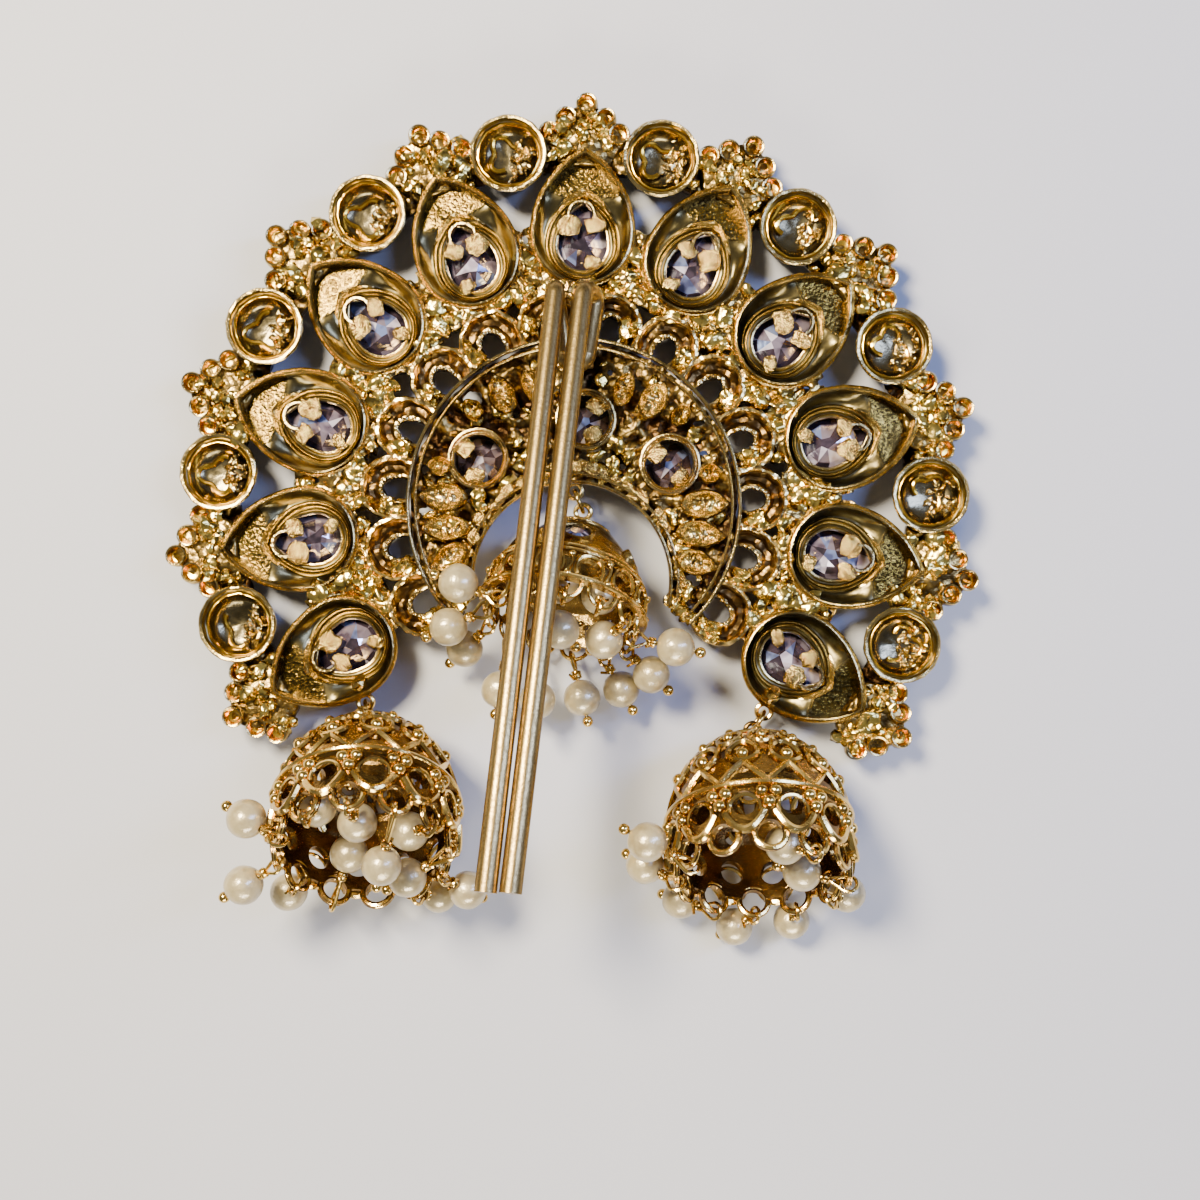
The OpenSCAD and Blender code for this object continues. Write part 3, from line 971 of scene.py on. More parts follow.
    # Radii between which the sheets and the lumps on them lie
    inner_band, inner_spread = (20.8, 28.2), (20.9, 27.6)
    outer_band, outer_spread = (33.3, 36.8), (33.2, 37.0)
    eye_spots = ((-20.4, -20.4, 3.0), (19.75, -20.1, 3.0))

    def pear_angle(self, i: float) -> float:
        """Angle of a pear setting from the fan's top."""
        return (i - (self.pear_count - 1) / 2) * -self.pear_step

    def cup_angle(self, i: int) -> float:
        """Angle of a cup, between two pear settings."""
        return self.pear_angle(i) - self.pear_step / 2

    def in_setting(self, x: float, y: float, grow: float) -> bool:
        """Whether a point lies in a pear setting or a cup, grown by a distance."""
        spot = Vector((x, y, 0.0))
        for i in range(self.pear_count):
            near = spoke(self.pear_angle(i), self.pear_reach).inverted() @ spot
            if in_pear(near.x, near.y, self.pear_half + grow, self.pear_tip + grow):
                return True
        for i in range(self.pear_count - 1):
            near = spoke(self.cup_angle(i), self.cup_reach).inverted() @ spot
            if math.hypot(near.x, near.y) < self.cup_r + grow:
                return True
        return False

    def inner_open(self, x: float, y: float) -> bool:
        """Whether the sheet inside the pear settings is open at a point."""
        if self.in_setting(x, y, -0.45) or LACE.holds(x, y, -0.3):
            return True
        gap = noise.noise(Vector((x / self.gap_grain, y / self.gap_grain, 4.0))) > -0.02
        return gap and not self.in_setting(x, y, 0.35) and not LACE.holds(x, y, 0.35)

    def outer_open(self, x: float, y: float) -> bool:
        """Whether the sheet outside the pear settings is open at a point."""
        return self.in_setting(x, y, -0.45)

    def dish_form(self, seed: int) -> Form:
        """A pear setting with its double rim, smooth dish, satin flat and collar."""
        rings = []
        for half_off, tip_off, down, z, _ in self.dish_rings:
            points = pear_outline(self.pear_half - half_off, self.pear_tip - tip_off)
            rings.append([Vector((x, y - down, z)) for x, y in points])
        start, run, height, slope = self.flat
        for point in (point for ring in rings[self.flat_rings] for point in ring):
            share = min(max((point.y - start) / run, 0.0), 1.0)
            point.z += (height - slope * point.y - point.z) * share * share * (3 - 2 * share)
        form = loft(rings, [row[-1] for row in self.dish_rings], closed=True)
        satin = form.attributes.new("satin", "FLOAT", "POINT")
        start, bend, softness = self.satin
        for i, vert in enumerate(form.vertices):
            satin.data[i].value = 0.5 + (vert.co.y - start - bend * vert.co.x**2) * softness
        stir(form.vertices, 0.05, 1.6, Vector((seed * 3.7, 0.0, 0.0)))
        return form

    @staticmethod
    def cup_tone(centre: Vector) -> int:
        """Finish of a cup's face: rim, outside, wall of its groove, amber ring or bowl."""
        r = math.hypot(centre.x, centre.y)
        if r > 3.5 and centre.z > 4.3:
            return FanTone.RIM
        if r > 3.5 or centre.z < 2.7:
            return FanTone.CAST
        if r > 3.17:
            return FanTone.DISH
        return FanTone.AMBER if r > 2.86 else FanTone.BOWL

    @staticmethod
    def granule_tone(centre: Vector) -> int:
        """Finish of a granule's face: rim, hollow or outside."""
        if centre.z > 4.5:
            return FanTone.RIM
        hollow = math.hypot(centre.x, centre.y) < 0.8 and centre.z > 3.7
        return FanTone.AMBER if hollow else FanTone.CAST

    def curl_form(self) -> Form:
        """The raised curled line on a cup's floor, three quarters of the way round."""
        path = []
        for i in range(37):
            t = 2 * math.pi * i / 48
            r = 1.55 + 0.42 * math.cos(3 * t)
            path.append(Vector((r * math.cos(t), r * math.sin(t), 2.98 + 0.06 * r * r)))
        return tube(path, 0.26)

    def sheet(self, band: Flat, opened: Callable[[float, float], bool], seed: int) -> Form:
        """A rough cast sheet round the fan.

        Args:
            band: its inner and outer radius.
            opened: whether it is open at a point.
            seed: picks the noise.

        Returns:
            The mesh.
        """
        inner, outer = band
        bm = bmesh.new()
        bmesh.ops.create_grid(
            bm,
            x_segments=int(2 * radians(self.web_end) * (inner + outer) / 2 / self.web_grid),
            y_segments=int((outer - inner) / self.web_grid),
            size=1.0,
        )
        for vert in bm.verts:
            r = inner + (outer - inner) * (vert.co.y + 1) / 2
            vert.co = polar(self.web_end * vert.co.x, r)
        gone = [f for f in bm.faces if opened(*f.calc_center_median().xy)]
        bmesh.ops.delete(bm, geom=gone, context="FACES")
        return cast_sheet(bm, self.web_z, self.web_top, seed)

    def tip_sheet(self) -> Form:
        """The sheet under the granules of one tip."""
        bm = bmesh.new()
        face = bm.faces.new([bm.verts.new((x, y, self.tip_z)) for x, y in self.tip_outline])
        made = bmesh.ops.extrude_face_region(bm, geom=[face])["geom"]
        raised = [item for item in made if isinstance(item, bmesh.types.BMVert)]
        bmesh.ops.translate(bm, verts=raised, vec=(0, 0, self.tip_thick))
        bmesh.ops.bevel(
            bm, geom=bm.edges[:], offset=0.3, segments=2, profile=0.5, affect="EDGES", material=-1
        )
        return settle(bm)

    def pear_settings(self, rng: Chance) -> Piece:
        """The pear settings, each with its folded tabs and the lip of its window."""
        settings = Piece("pear_settings")
        forms = [tab_form(seed) for seed in range(self.tab_kinds)]
        radius, half, steps, z, up = self.lip
        lip = tube(arc(radius, -half, half, steps, z, up), 0.2, 6, flat=1.3)
        for i in range(self.pear_count):
            place = spoke(self.pear_angle(i), self.pear_reach)
            settings.add(self.dish_form(i), place)
            hand = -1 if i % 2 else 1
            for x, y, wide, long, twist in self.tabs:
                lay = shift(x * hand + rng.about(self.shake), y + rng.about(self.shake), 3.4)
                tilt = turn(twist * hand + rng.about(25), "Z") @ rng.lean(10, "X")
                at = place @ lay @ tilt @ stretch(wide, long, 1.2)
                settings.add(rng.choice(forms), at, FanTone.TAB)
            settings.add(lip, place @ shift(0.2 * hand), FanTone.RIM)
        return settings

    def round_cups(self, rng: Chance, lumps: Sequence[Form]) -> Piece:
        """The round cups, each with a curled line and a heap of nuggets in its bowl."""
        cups = Piece("round_cups")
        cup = roughened(lathe(self.cup_profile, 48, rule=self.cup_tone), 0.09, 0.7, 2)
        curl = self.curl_form()
        for i in range(self.pear_count - 1):
            place = spoke(self.cup_angle(i), self.cup_reach)
            cups.add(cup, place @ rng.spin())
            facing = place @ rng.lean(30, "Z") @ shift(-0.35, 0.35)
            cups.add(curl, facing @ stretch(1.05, rng.uniform(0.85, 1.1), 1.0), FanTone.AMBER)
            for _ in range(self.bowl_lumps):
                angle, r = rng.uniform(190, 330), rng.uniform(0.5, 2.7)
                size = rng.uniform(0.3, 0.62)
                lay = Matrix.Translation(place.translation) @ turn(angle, "Z")
                lay = lay @ shift(0, r, 2.95 + 0.1 * r * r)
                tilt = rng.lean(30, "X") @ rng.spin()
                at = lay @ tilt @ stretch(size, size * 0.45, size * 0.8)
                cups.add(rng.choice(lumps), at, FanTone.RIM)
        return cups

    def tip_granules(self, rng: Chance, lumps: Sequence[Form]) -> Piece:
        """The granules at the fan's tips, with nuggets between them."""
        tips = Piece("tip_granules")
        granule = lathe(self.granule_profile, 18, rule=self.granule_tone)
        for i in range(self.pear_count):
            base = turn(self.pear_angle(i), "Z")
            for x, y in self.granule_spots:
                lean = rng.lean(9, "X") @ rng.lean(9, "Y")
                place = shift(x + rng.about(self.shake), y, 4.0) @ lean
                place = place @ shift(0, 0, -4.0 + rng.uniform(-0.1, 0.15))
                tips.add(granule, base @ place @ rng.spin())
            for _ in range(self.tip_lumps):
                x = rng.about(4.0)
                y = rng.uniform(36.2, 39.4) - abs(x) * 0.45
                size = rng.uniform(0.35, 0.8)
                lay = shift(x, y, rng.uniform(3.8, 4.3)) @ rng.spin("X")
                tips.add(rng.choice(lumps), base @ lay @ stretch(size, size, size), FanTone.WEB)
        return tips

    def cast_web(self, rng: Chance, lumps: Sequence[Form]) -> Piece:
        """The sheets inside and outside the pear settings, with nuggets on them."""
        web = Piece("cast_web")
        web.add(self.sheet(self.inner_band, self.inner_open, 1), None, WebTone.CAST)
        web.add(self.sheet(self.outer_band, self.outer_open, 2), None, WebTone.CAST)
        tip_sheet = self.tip_sheet()
        for i in range(self.pear_count):
            web.add(tip_sheet, turn(self.pear_angle(i), "Z"), WebTone.CAST)
        count = 0
        while count < self.web_lumps:
            angle = rng.about(self.web_end)
            spread = self.inner_spread if count < self.inner_lumps else self.outer_spread
            spot = polar(angle, rng.uniform(*spread))
            if self.in_setting(*spot.xy, 0.1) or LACE.holds(*spot.xy, 0.1):
                continue
            size = rng.uniform(0.55, 1.4)
            lay = shift(*spot.xy, rng.uniform(3.7, 4.6) - size * 0.2)
            tilt = rng.spin() @ rng.lean(60, "X")
            lump = rng.choice(lumps)
            web.add(lump, lay @ tilt @ stretch(size, size * rng.uniform(0.6, 1.0), size * 0.7))
            count += 1
        return web

    def bell_eyes(self) -> Piece:
        """The two eyes that the side bells hang from, each held by a row of lumps."""
        eyes = Piece("bell_eyes")
        ring = eye()
        end = polar(self.pear_angle(0), self.pear_reach)
        for spot in self.eye_spots:
            at = Vector(spot)
            setting = Vector((math.copysign(end.x, at.x), end.y, 0))
            toward = (setting - Vector((at.x, at.y, 0))).normalized()
            eyes.add(ring, Matrix.Translation(at))
            for k in range(4):
                spot = at + toward * (0.95 + 0.3 * k)
                size = 0.48 + 0.1 * k
                lay = shift(spot.x, spot.y, 3.0 + 0.12 * k)
                eyes.add(nugget(k), lay @ stretch(size, size, size * 1.1))
        return eyes

    def build(self, finishes: Finishes) -> None:
        """Builds and dresses the cast back."""
        rng = Chance(self.seed)
        palette = finishes.palette(FanTone)
        self.pear_settings(rng).set_down(palette, "cast_gold", ["fan_plate"])
        lumps = [nugget(seed) for seed in range(self.lump_kinds)]
        self.round_cups(rng, lumps).set_down(palette, "cast_gold", ["fan_plate"])
        self.tip_granules(rng, lumps).set_down(palette, "cast_gold", ["fan_plate"])
        palette = finishes.palette(WebTone)
        self.cast_web(rng, lumps).set_down(palette, "cast_gold", ["fan_plate"], CAST_CREASE)
        self.bell_eyes().set_down([finishes.wire], "cast_gold", ["fan_plate"])


@dataclass
class CrescentPlate:
    """Inner crescent with its raised lines, collars, scoops and lace arches."""

    crescent_r: float = 16.5
    opening_r: float = 9.8
    opening_drop: float = 7.6
    low: float = 2.6
    high: float = 3.1
    horn: float = 133.0
    collar_room: float = 3.4
    lumps: int = 110
    inner_tabs: int = 34
    inner_tabs_end: float = 122.0
    seed: int = 5

    # Round stones: angle and distance from the fan's centre
    round_spots = ((66.0, 10.6), (-6.0, 8.6), (-65.0, 10.4))
    # Scoops on each side: angle, distance from the centre, half width, half length
    scoops = (
        (22, 12.6, 0.85, 1.5), (36, 13.2, 1.1, 1.7), (49, 13.9, 0.75, 1.0), (76, 14.0, 0.8, 1.0),
        (88, 13.1, 1.15, 2.0), (101, 13.0, 1.05, 2.0), (114, 13.5, 1.0, 1.8),
    )
    scoop_profile = (
        (0.0, 2.7), (1.1, 2.7), (1.14, 4.1), (1.08, 4.5), (0.97, 4.66), (0.86, 4.5), (0.74, 4.1),
        (0.6, 3.86), (0.45, 3.75), (0.3, 3.7), (0.15, 3.66), (0.0, 3.65),
    )
    collar_profile = (
        (2.9, 0.5), (3.15, 2.9), (3.12, 4.35), (3.02, 4.62), (2.86, 4.66), (2.76, 4.46),
        (2.72, 4.2), (2.62, 4.22), (2.58, 4.46), (2.5, 4.56), (2.4, 4.46), (2.4, 3.3),
        (2.45, 3.0), (2.45, 0.5),
    )
    # Section of an arch: share of the way from its wall to its hole, and height
    arch_section = (
        (0.0, 2.7), (0.0, 4.5), (0.05, 4.72), (0.16, 4.76), (0.22, 4.6), (0.26, 4.1), (0.4, 3.6),
        (0.6, 3.55), (0.75, 3.8), (0.84, 4.15), (0.94, 4.2), (1.0, 4.0), (1.0, 2.7),
    )
    # Lines on the crescent's outer edge: distance past it, height, radius, height for width
    edge_lines = ((0.05, 4.72, 0.2, 1.5), (-0.72, 4.66, 0.16, 1.8))
    # Lines round its opening: distance past its edge, half angle, and the same again
    opening_lines = ((0.12, 102, 4.35, 0.22, 1.5), (0.85, 99, 4.4, 0.16, 1.4))

    def inner_reach(self, angle: float) -> float:
        """Distance of the round opening's edge from the fan's centre at an angle."""
        drop = self.opening_drop * math.cos(radians(angle))
        return -drop + math.sqrt(drop**2 + self.opening_r**2 - self.opening_drop**2)

    def near_stone(self, x: float, y: float, room: float) -> bool:
        """Whether a point lies within a distance of a round stone's middle."""
        spot = Vector((x, y, 0.0))
        return any((spot - spoke(a, r).translation).length < room for a, r in self.round_spots)

    def in_hole(self, x: float, y: float) -> bool:
        """Whether the sheet is open for a stone or has a pit here."""
        if self.near_stone(x, y, 2.7):
            return True
        pit = noise.noise(Vector((x / 1.6, y / 1.6, 9.0))) > 0.47
        inside = math.hypot(x, y) < 15.6
        return pit and inside and math.hypot(x, y + self.opening_drop) > self.opening_r + 1.0

    def sheet(self) -> Form:
        """The rough crescent sheet."""
        bm = bmesh.new()
        bmesh.ops.create_grid(bm, x_segments=260, y_segments=40, size=1.0)
        for vert in bm.verts:
            angle = self.horn * vert.co.x
            inner = self.inner_reach(angle)
            vert.co = polar(angle, inner + (self.crescent_r - inner) * (vert.co.y + 1) / 2)
        gone = [f for f in bm.faces if self.in_hole(*f.calc_center_median().xy)]
        bmesh.ops.delete(bm, geom=gone, context="FACES")
        return cast_sheet(bm, self.low, self.high, 3)

    def arch_form(self, seed: int) -> Form:
        """A lace arch: a thin outer wall, a trough and the lip of its D-shaped hole."""
        rings = []
        for step in range(45):
            angle = radians(-124 + 248 * step / 44)
            outer = Vector((-LACE.radius * math.sin(angle), LACE.radius * math.cos(angle)))
            inner = Vector((-1.1 * math.sin(angle), 1.55 * math.cos(angle) - 0.5))
            line = [(outer.lerp(inner, share), z) for share, z in self.arch_section]
            rings.append([Vector((spot.x, spot.y, z)) for spot, z in line])
        return roughened(loft(rings), 0.2, 0.75, seed)

    def scoop_form(self, seed: int) -> Form:
        """A hollow leaf scoop of unit size."""
        form = lathe(self.scoop_profile, 36)
        for vert in form.vertices:
            if math.hypot(vert.co.x, vert.co.y) < 0.8 and vert.co.z > 3.5:
                vert.co.z += 0.2 * math.sin(vert.co.y * 16 + seed)
            vert.co.x *= 1.0 - 0.45 * max(vert.co.y, 0.0) ** 2
        return roughened(form, 0.07, 0.5, seed)

    def crescent_sheet(self, rng: Chance) -> Piece:
        """The sheet with its scoops, its nuggets and the tabs along its opening."""
        lumps = [nugget(20 + seed) for seed in range(8)]
        plate = Piece("crescent_sheet")
        plate.add(self.sheet(), None, CrescentTone.CAST)
        forms = [self.scoop_form(seed) for seed in range(4)]
        for side in (-1, 1):
            for angle, reach, wide, long in self.scoops:
                twist = rng.lean(12, "Z")
                place = spoke(side * angle + rng.about(1), reach) @ twist
                at = place @ stretch(wide * 1.15, long * 1.1, 1.06)
                plate.add(rng.choice(forms), at, CrescentTone.RIM)
        count = 0
        while count < self.lumps:
            angle = rng.about(self.horn)
            r = rng.uniform(self.inner_reach(angle) + 0.9, self.crescent_r - 1.6)
            spot = polar(angle, r)
            if self.near_stone(*spot.xy, self.collar_room):
                continue
            size = rng.uniform(0.35, 1.05)
            lay = shift(*spot.xy, rng.uniform(3.3, 4.1)) @ rng.spin()
            lump = rng.choice(lumps)
            plate.add(lump, lay @ stretch(size, size * rng.uniform(0.45, 0.9), size * 0.55))
            count += 1
        tabs = [tab_form(30 + seed) for seed in range(4)]
        last = self.inner_tabs - 1
        for k in range(self.inner_tabs):
            angle = -self.inner_tabs_end + 2 * self.inner_tabs_end * k / last + rng.about(2)
            r = self.inner_reach(angle) + rng.uniform(1.2, 1.9)
            lay = spoke(angle, r, rng.uniform(3.6, 4.2)) @ rng.lean(60, "Z") @ rng.lean(22, "X")
            form = rng.choice(tabs)
            at = lay @ stretch(rng.uniform(1.2, 2.0), rng.uniform(0.8, 1.5), 1.4)
            plate.add(form, at, CrescentTone.TAB)
        return plate

    def crescent_lines(self, rng: Chance, lumps: Sequence[Form]) -> Piece:
        """The raised lines, the lumps on the horns and the collars of the round stones."""
        raised = Piece("crescent_lines")
        horn = self.horn + 1
        for past, z, wire, flat in self.edge_lines:
            path = arc(self.crescent_r + past, -horn, horn, 150, z)
            raised.add(tube(path, wire, flat=flat), None, CrescentTone.RIM)
        for past, half, z, wire, flat in self.opening_lines:
            path = arc(self.opening_r + past, -half, half, 110, z, -self.opening_drop)
            raised.add(tube(path, wire, flat=flat), None, CrescentTone.RIM)
        for side in (-1, 1):
            for k in range(6):
                size = rng.uniform(0.6, 0.9)
                lay = spoke(side * rng.uniform(131.5, 134), 13.4 + 0.62 * k, 3.7)
                raised.add(rng.choice(lumps), lay @ stretch(size, size, size * 0.8))
        collar = roughened(lathe(self.collar_profile, 44, closed=True), 0.05, 0.8, 4)
        tabs = [tab_form(9 + seed) for seed in range(2)]
        for angle, reach in self.round_spots:
            place = spoke(angle, reach)
            raised.add(collar, place, CrescentTone.RIM)
            for k, tab in enumerate(tabs):
                lay = rng.spin() @ shift(0.0, 1.7, 4.1 - 0.3 * k)
                lay = lay @ turn(rng.uniform(-20, 5), "X")
                raised.add(tab, place @ lay @ stretch(2.0, 1.5, 1.2), CrescentTone.TAB)
        return raised

    def lace_arches(self, rng: Chance, lumps: Sequence[Form]) -> Piece:
        """The lace arches with nuggets on one flank and beads round the hole, and an eye."""
        lace = Piece("lace_arches")
        for i in range(LACE.count):
            place = spoke(LACE.angle(i), LACE.reach)
            lace.add(self.arch_form(i), place, CrescentTone.LACE)
            hand = 1 if LACE.angle(i) > 0 else -1
            for _ in range(14):
                lay = turn(hand * rng.uniform(68, 118), "Z")
                lay = lay @ shift(0.0, rng.uniform(1.4, 2.7), rng.uniform(3.7, 4.25))
                size = rng.uniform(0.45, 0.85)
                at = place @ lay @ stretch(size, size * 0.7, size * 0.8)
                lace.add(rng.choice(lumps), at)
            for k in range(12):
                angle = radians(hand * (-95 + 15 * k))
                lay = shift(-1.22 * math.sin(angle), 1.68 * math.cos(angle) - 0.5, 4.15)
                at = place @ lay @ stretch(0.2, 0.2, 0.17)
                lace.add(rng.choice(lumps), at, CrescentTone.RIM)
        lace.add(eye(), shift(0.0, 1.45, 3.3), CrescentTone.RIM)
        return lace

    def build(self, finishes: Finishes) -> None:
        """Builds and dresses the crescent."""
        rng = Chance(self.seed)
        palette = finishes.palette(CrescentTone)
        sheet = self.crescent_sheet(rng)
        sheet.set_down(palette, "cast_gold", ["crescent_plate"], CAST_CREASE)
        lumps = [nugget(40 + seed) for seed in range(4)]
        self.crescent_lines(rng, lumps).set_down(palette, "cast_gold", ["crescent_plate"])
        self.lace_arches(rng, lumps).set_down(palette, "cast_gold", ["crescent_plate"])


@dataclass
class CutStones:
    """Faceted stones with their tables down, seen from their backs."""

    pear_half: float = 3.0
    pear_tip: float = 5.4
    pear_down: float = 0.7
    round_r: float = 2.35
    seed: int = 3

    # Rings of a stone: share of its width, height, number of corners, turned by half a corner
    cuts = (
        (0.55, 0.02, 12, False), (1.0, 0.9, 20, True), (1.0, 1.22, 20, True),
        (0.66, 2.1, 10, False), (0.2, 2.84, 5, True),
    )
    # Tones of the facets, each as often as it is listed: dark and grey are the stone's own, the
    # pale tone paints highlights and the blue tone paints a blue reflection
    tones = (0, 0, 0, 0, 1, 1, 1, 2, 3)

    @staticmethod
    def along(outline: Sequence[Flat], share: float) -> Flat:
        """Point at a share of a closed outline's length."""
        spot = share % 1.0 * len(outline)
        first, part = int(spot), spot - int(spot)
        a, b = outline[first % len(outline)], outline[(first + 1) % len(outline)]
        return a[0] + (b[0] - a[0]) * part, a[1] + (b[1] - a[1]) * part

    def stone_form(self, outline: Sequence[Flat], rng: Chance) -> Form:
        """Cuts a stone from an outline, with a tone for each facet, some of them painted highlights
        and reflections.
        """
        bm = bmesh.new()
        for share, z, corners, half in self.cuts:
            for k in range(corners):
                x, y = self.along(outline, (k + 0.5 * half) / corners)
                bm.verts.new((x * share, y * share, z))
        made = bmesh.ops.convex_hull(bm, input=bm.verts)
        bmesh.ops.delete(bm, geom=made["geom_interior"], context="VERTS")
        bmesh.ops.dissolve_limit(bm, angle_limit=radians(3), verts=bm.verts, edges=bm.edges)
        for face in bm.faces:
            face.material_index = rng.choice(self.tones)
        return settle(bm)

    def build(self, finishes: Finishes) -> None:
        """Builds and dresses the stones."""
        rng = Chance(self.seed)
        fan, spots = FanPlate(), CrescentPlate.round_spots
        pears = Piece("pear_cut_stones")
        outline = pear_outline(self.pear_half, self.pear_tip)
        for i in range(fan.pear_count):
            place = spoke(fan.pear_angle(i), fan.pear_reach - self.pear_down)
            pears.add(self.stone_form(outline, rng), place)
        nodes = [f"pear_stone_{i + 1}" for i in range(fan.pear_count)]
        pears.set_down(finishes.stones, "stone", nodes, FACET_CREASE)
        rounds = Piece("round_cut_stones")
        circle = [(v.x, v.y) for v in arc(self.round_r, 0, 360, 60)[:-1]]
        for angle, reach in spots:
            rounds.add(self.stone_form(circle, rng), spoke(angle, reach))
        nodes = [f"round_stone_{i + 1}" for i in range(len(spots))]
        rounds.set_down(finishes.stones, "stone", nodes, FACET_CREASE)


# Bells and pearls


@dataclass(frozen=True)
class Hang:
    """How a bell hangs.

    Attributes:
        at: place of its eye.
        rise: angle of its axis above the floor.
        about: angle of its axis from straight down the picture.
        length: distance from its eye to its mouth.
    """

    at: tuple
    rise: float
    about: float
    length: float

    def place(self) -> Matrix:
        """Place of the bell, with its mouth at Z 0 and opening towards +Z."""
        leaning = Matrix.Translation(self.at) @ turn(self.about, "Z") @ turn(90 - self.rise, "X")
        return leaning @ shift(0, 0, self.length)


HANGS = {
    Side.LEFT: Hang((-19.75, -22.6, 1.9), 44.0, 6.0, 14.65),
    Side.RIGHT: Hang((18.67, -22.07, 3.1), 34.0, 1.5, 14.65),
    Side.MIDDLE: Hang((0.92, -0.67, 3.7), 25.0, -9.0, 11.25),
}
# A bell's rim loops: radius, and where they sit from its mouth's edge
LOOP_R = 1.43
LOOP_IN = 0.55
LOOP_Z = 0.25


@dataclass
class SideBell:
    """Filigree on a side bell."""

    side: Side
    radius: float = 8.65
    crown: float = 10.15
    skirt: float = 3.5
    loops: int = 12
    band_z: float = -4.6
    crown_beads: int = 8

    # Beads between the round openings: angle and height
    skirt_beads = ((4.2, -3.7), (-4.2, -3.7), (0.0, -2.65))
    # Lifts of the wire rings near the top
    crown_rings = (57.0, 72.0)

    def on_dome(self, angle: float, lift: float, out: float = 0.0) -> Vector:
        """Point on the dome at an angle round it and a lift above its skirt."""
        rise = radians(lift)
        r = self.radius * math.cos(rise) + out * math.cos(rise)
        return polar(angle, r, -self.skirt - (self.crown + out) * math.sin(rise))

    def on_skirt(self, angle: float, z: float, out: float = 0.0) -> Vector:
        """Point on the straight skirt."""
        return polar(angle, self.radius + out, z)

    def oval(
        self, at: Flat, size: Flat, out: float, steps: int, taper: float = 0.0
    ) -> list[Vector]:
        """Points of a loop on the dome.

        Args:
            at: angle and lift of its middle.
            size: half its width and height in degrees.
            out: distance off the dome.
            steps: number of points.
            taper: how much narrower it is at its top.

        Returns:
            The points.
        """
        points = []
        for t in (2 * math.pi * k / steps for k in range(steps)):
            angle = at[0] + size[0] * math.cos(t) * (1 - taper * math.sin(t))
            points.append(self.on_dome(angle, at[1] + size[1] * math.sin(t), out))
        return points

    def opening(self, angle: float) -> list[Form]:
        """The thick lower and the thin upper curve of a round opening in the skirt."""
        lower = [
            self.on_skirt(angle + a, 0.05 - 1.75 * (abs(a) / 12) ** 2, 0.2)
            for a in range(-12, 13, 2)
        ]
        upper = [
            self.on_skirt(angle + 9.6 * math.cos(t), -2.1 - 1.35 * math.sin(t), 0.08)
            for t in (math.pi * k / 12 for k in range(-1, 14))
        ]
        return [tube(lower, 0.4), tube(upper, 0.2, 6)]

    def lattice(self, angle: float) -> list[Form]:
        """The wires that cross above the band and near the top, from one corner."""
        forms = []
        for slant in (-1, 1):
            low = [
                self.on_dome(angle + slant * 15 * k / 4, 7.5 + 13.0 * k / 4, 0.1)
                for k in range(5)
            ]
            high = [
                self.on_dome(angle + slant * (3.5 + k), 24.0 + 5.0 * k, 0.1) for k in range(5)
            ]
            forms += [tube(low, 0.32, 6), tube(high, 0.2, 6)]
        return forms

    def build(self, finishes: Finishes) -> None:
        """Builds and dresses the filigree."""
        place = HANGS[self.side].place()
        step = 360.0 / self.loops
        unit = Piece(f"filigree_{self.side.value}")
        rim_loop = hoop(LOOP_R, 0.3)
        small_bead, large_bead = bead(0.52), bead(0.66)
        unit.add(hoop(self.radius + 0.25, 0.3, 72), place @ shift(0, 0, self.band_z))
        for i in range(self.loops):
            angle = step * i
            middle = angle + step / 2
            at = place @ turn(angle, "Z") @ shift(0, self.radius - LOOP_IN, LOOP_Z)
            unit.add(rim_loop, at @ turn(90, "X"))
            for form in self.opening(middle):
                unit.add(form, place)
            for a, z in self.skirt_beads:
                spot = self.on_skirt(angle + a, z, 0.12)
                unit.add(large_bead, place @ Matrix.Translation(spot))
            for form in self.lattice(angle):
                unit.add(form, place)
            teardrop = self.oval((middle, 29.5), (10.6, 8.2), 0.12, 20, 0.12)
            unit.add(tube(teardrop, 0.3, 6, closed=True), place)
            spot = self.on_dome(middle, 26.0, 0.2)
            unit.add(large_bead, place @ Matrix.Translation(spot))
            high = self.oval((angle, 47), (11.5, 8.0), 0.1, 14)
            unit.add(tube(high, 0.23, 6, closed=True), place)
            spot = self.on_dome(angle, 46, 0.15)
            unit.add(small_bead, place @ Matrix.Translation(spot))
        for lift in self.crown_rings:
            r = self.radius * math.cos(radians(lift)) + 0.1
            z = self.on_dome(0, lift, 0.1).z
            unit.add(hoop(r, 0.18, 36, 6), place @ shift(0, 0, z))
        for i in range(self.crown_beads):
            spot = self.on_dome(360.0 / self.crown_beads * i, 65, 0.1)
            unit.add(small_bead, place @ Matrix.Translation(spot))
        unit.rest()
        unit.set_down([finishes.wire], "bell_gold")


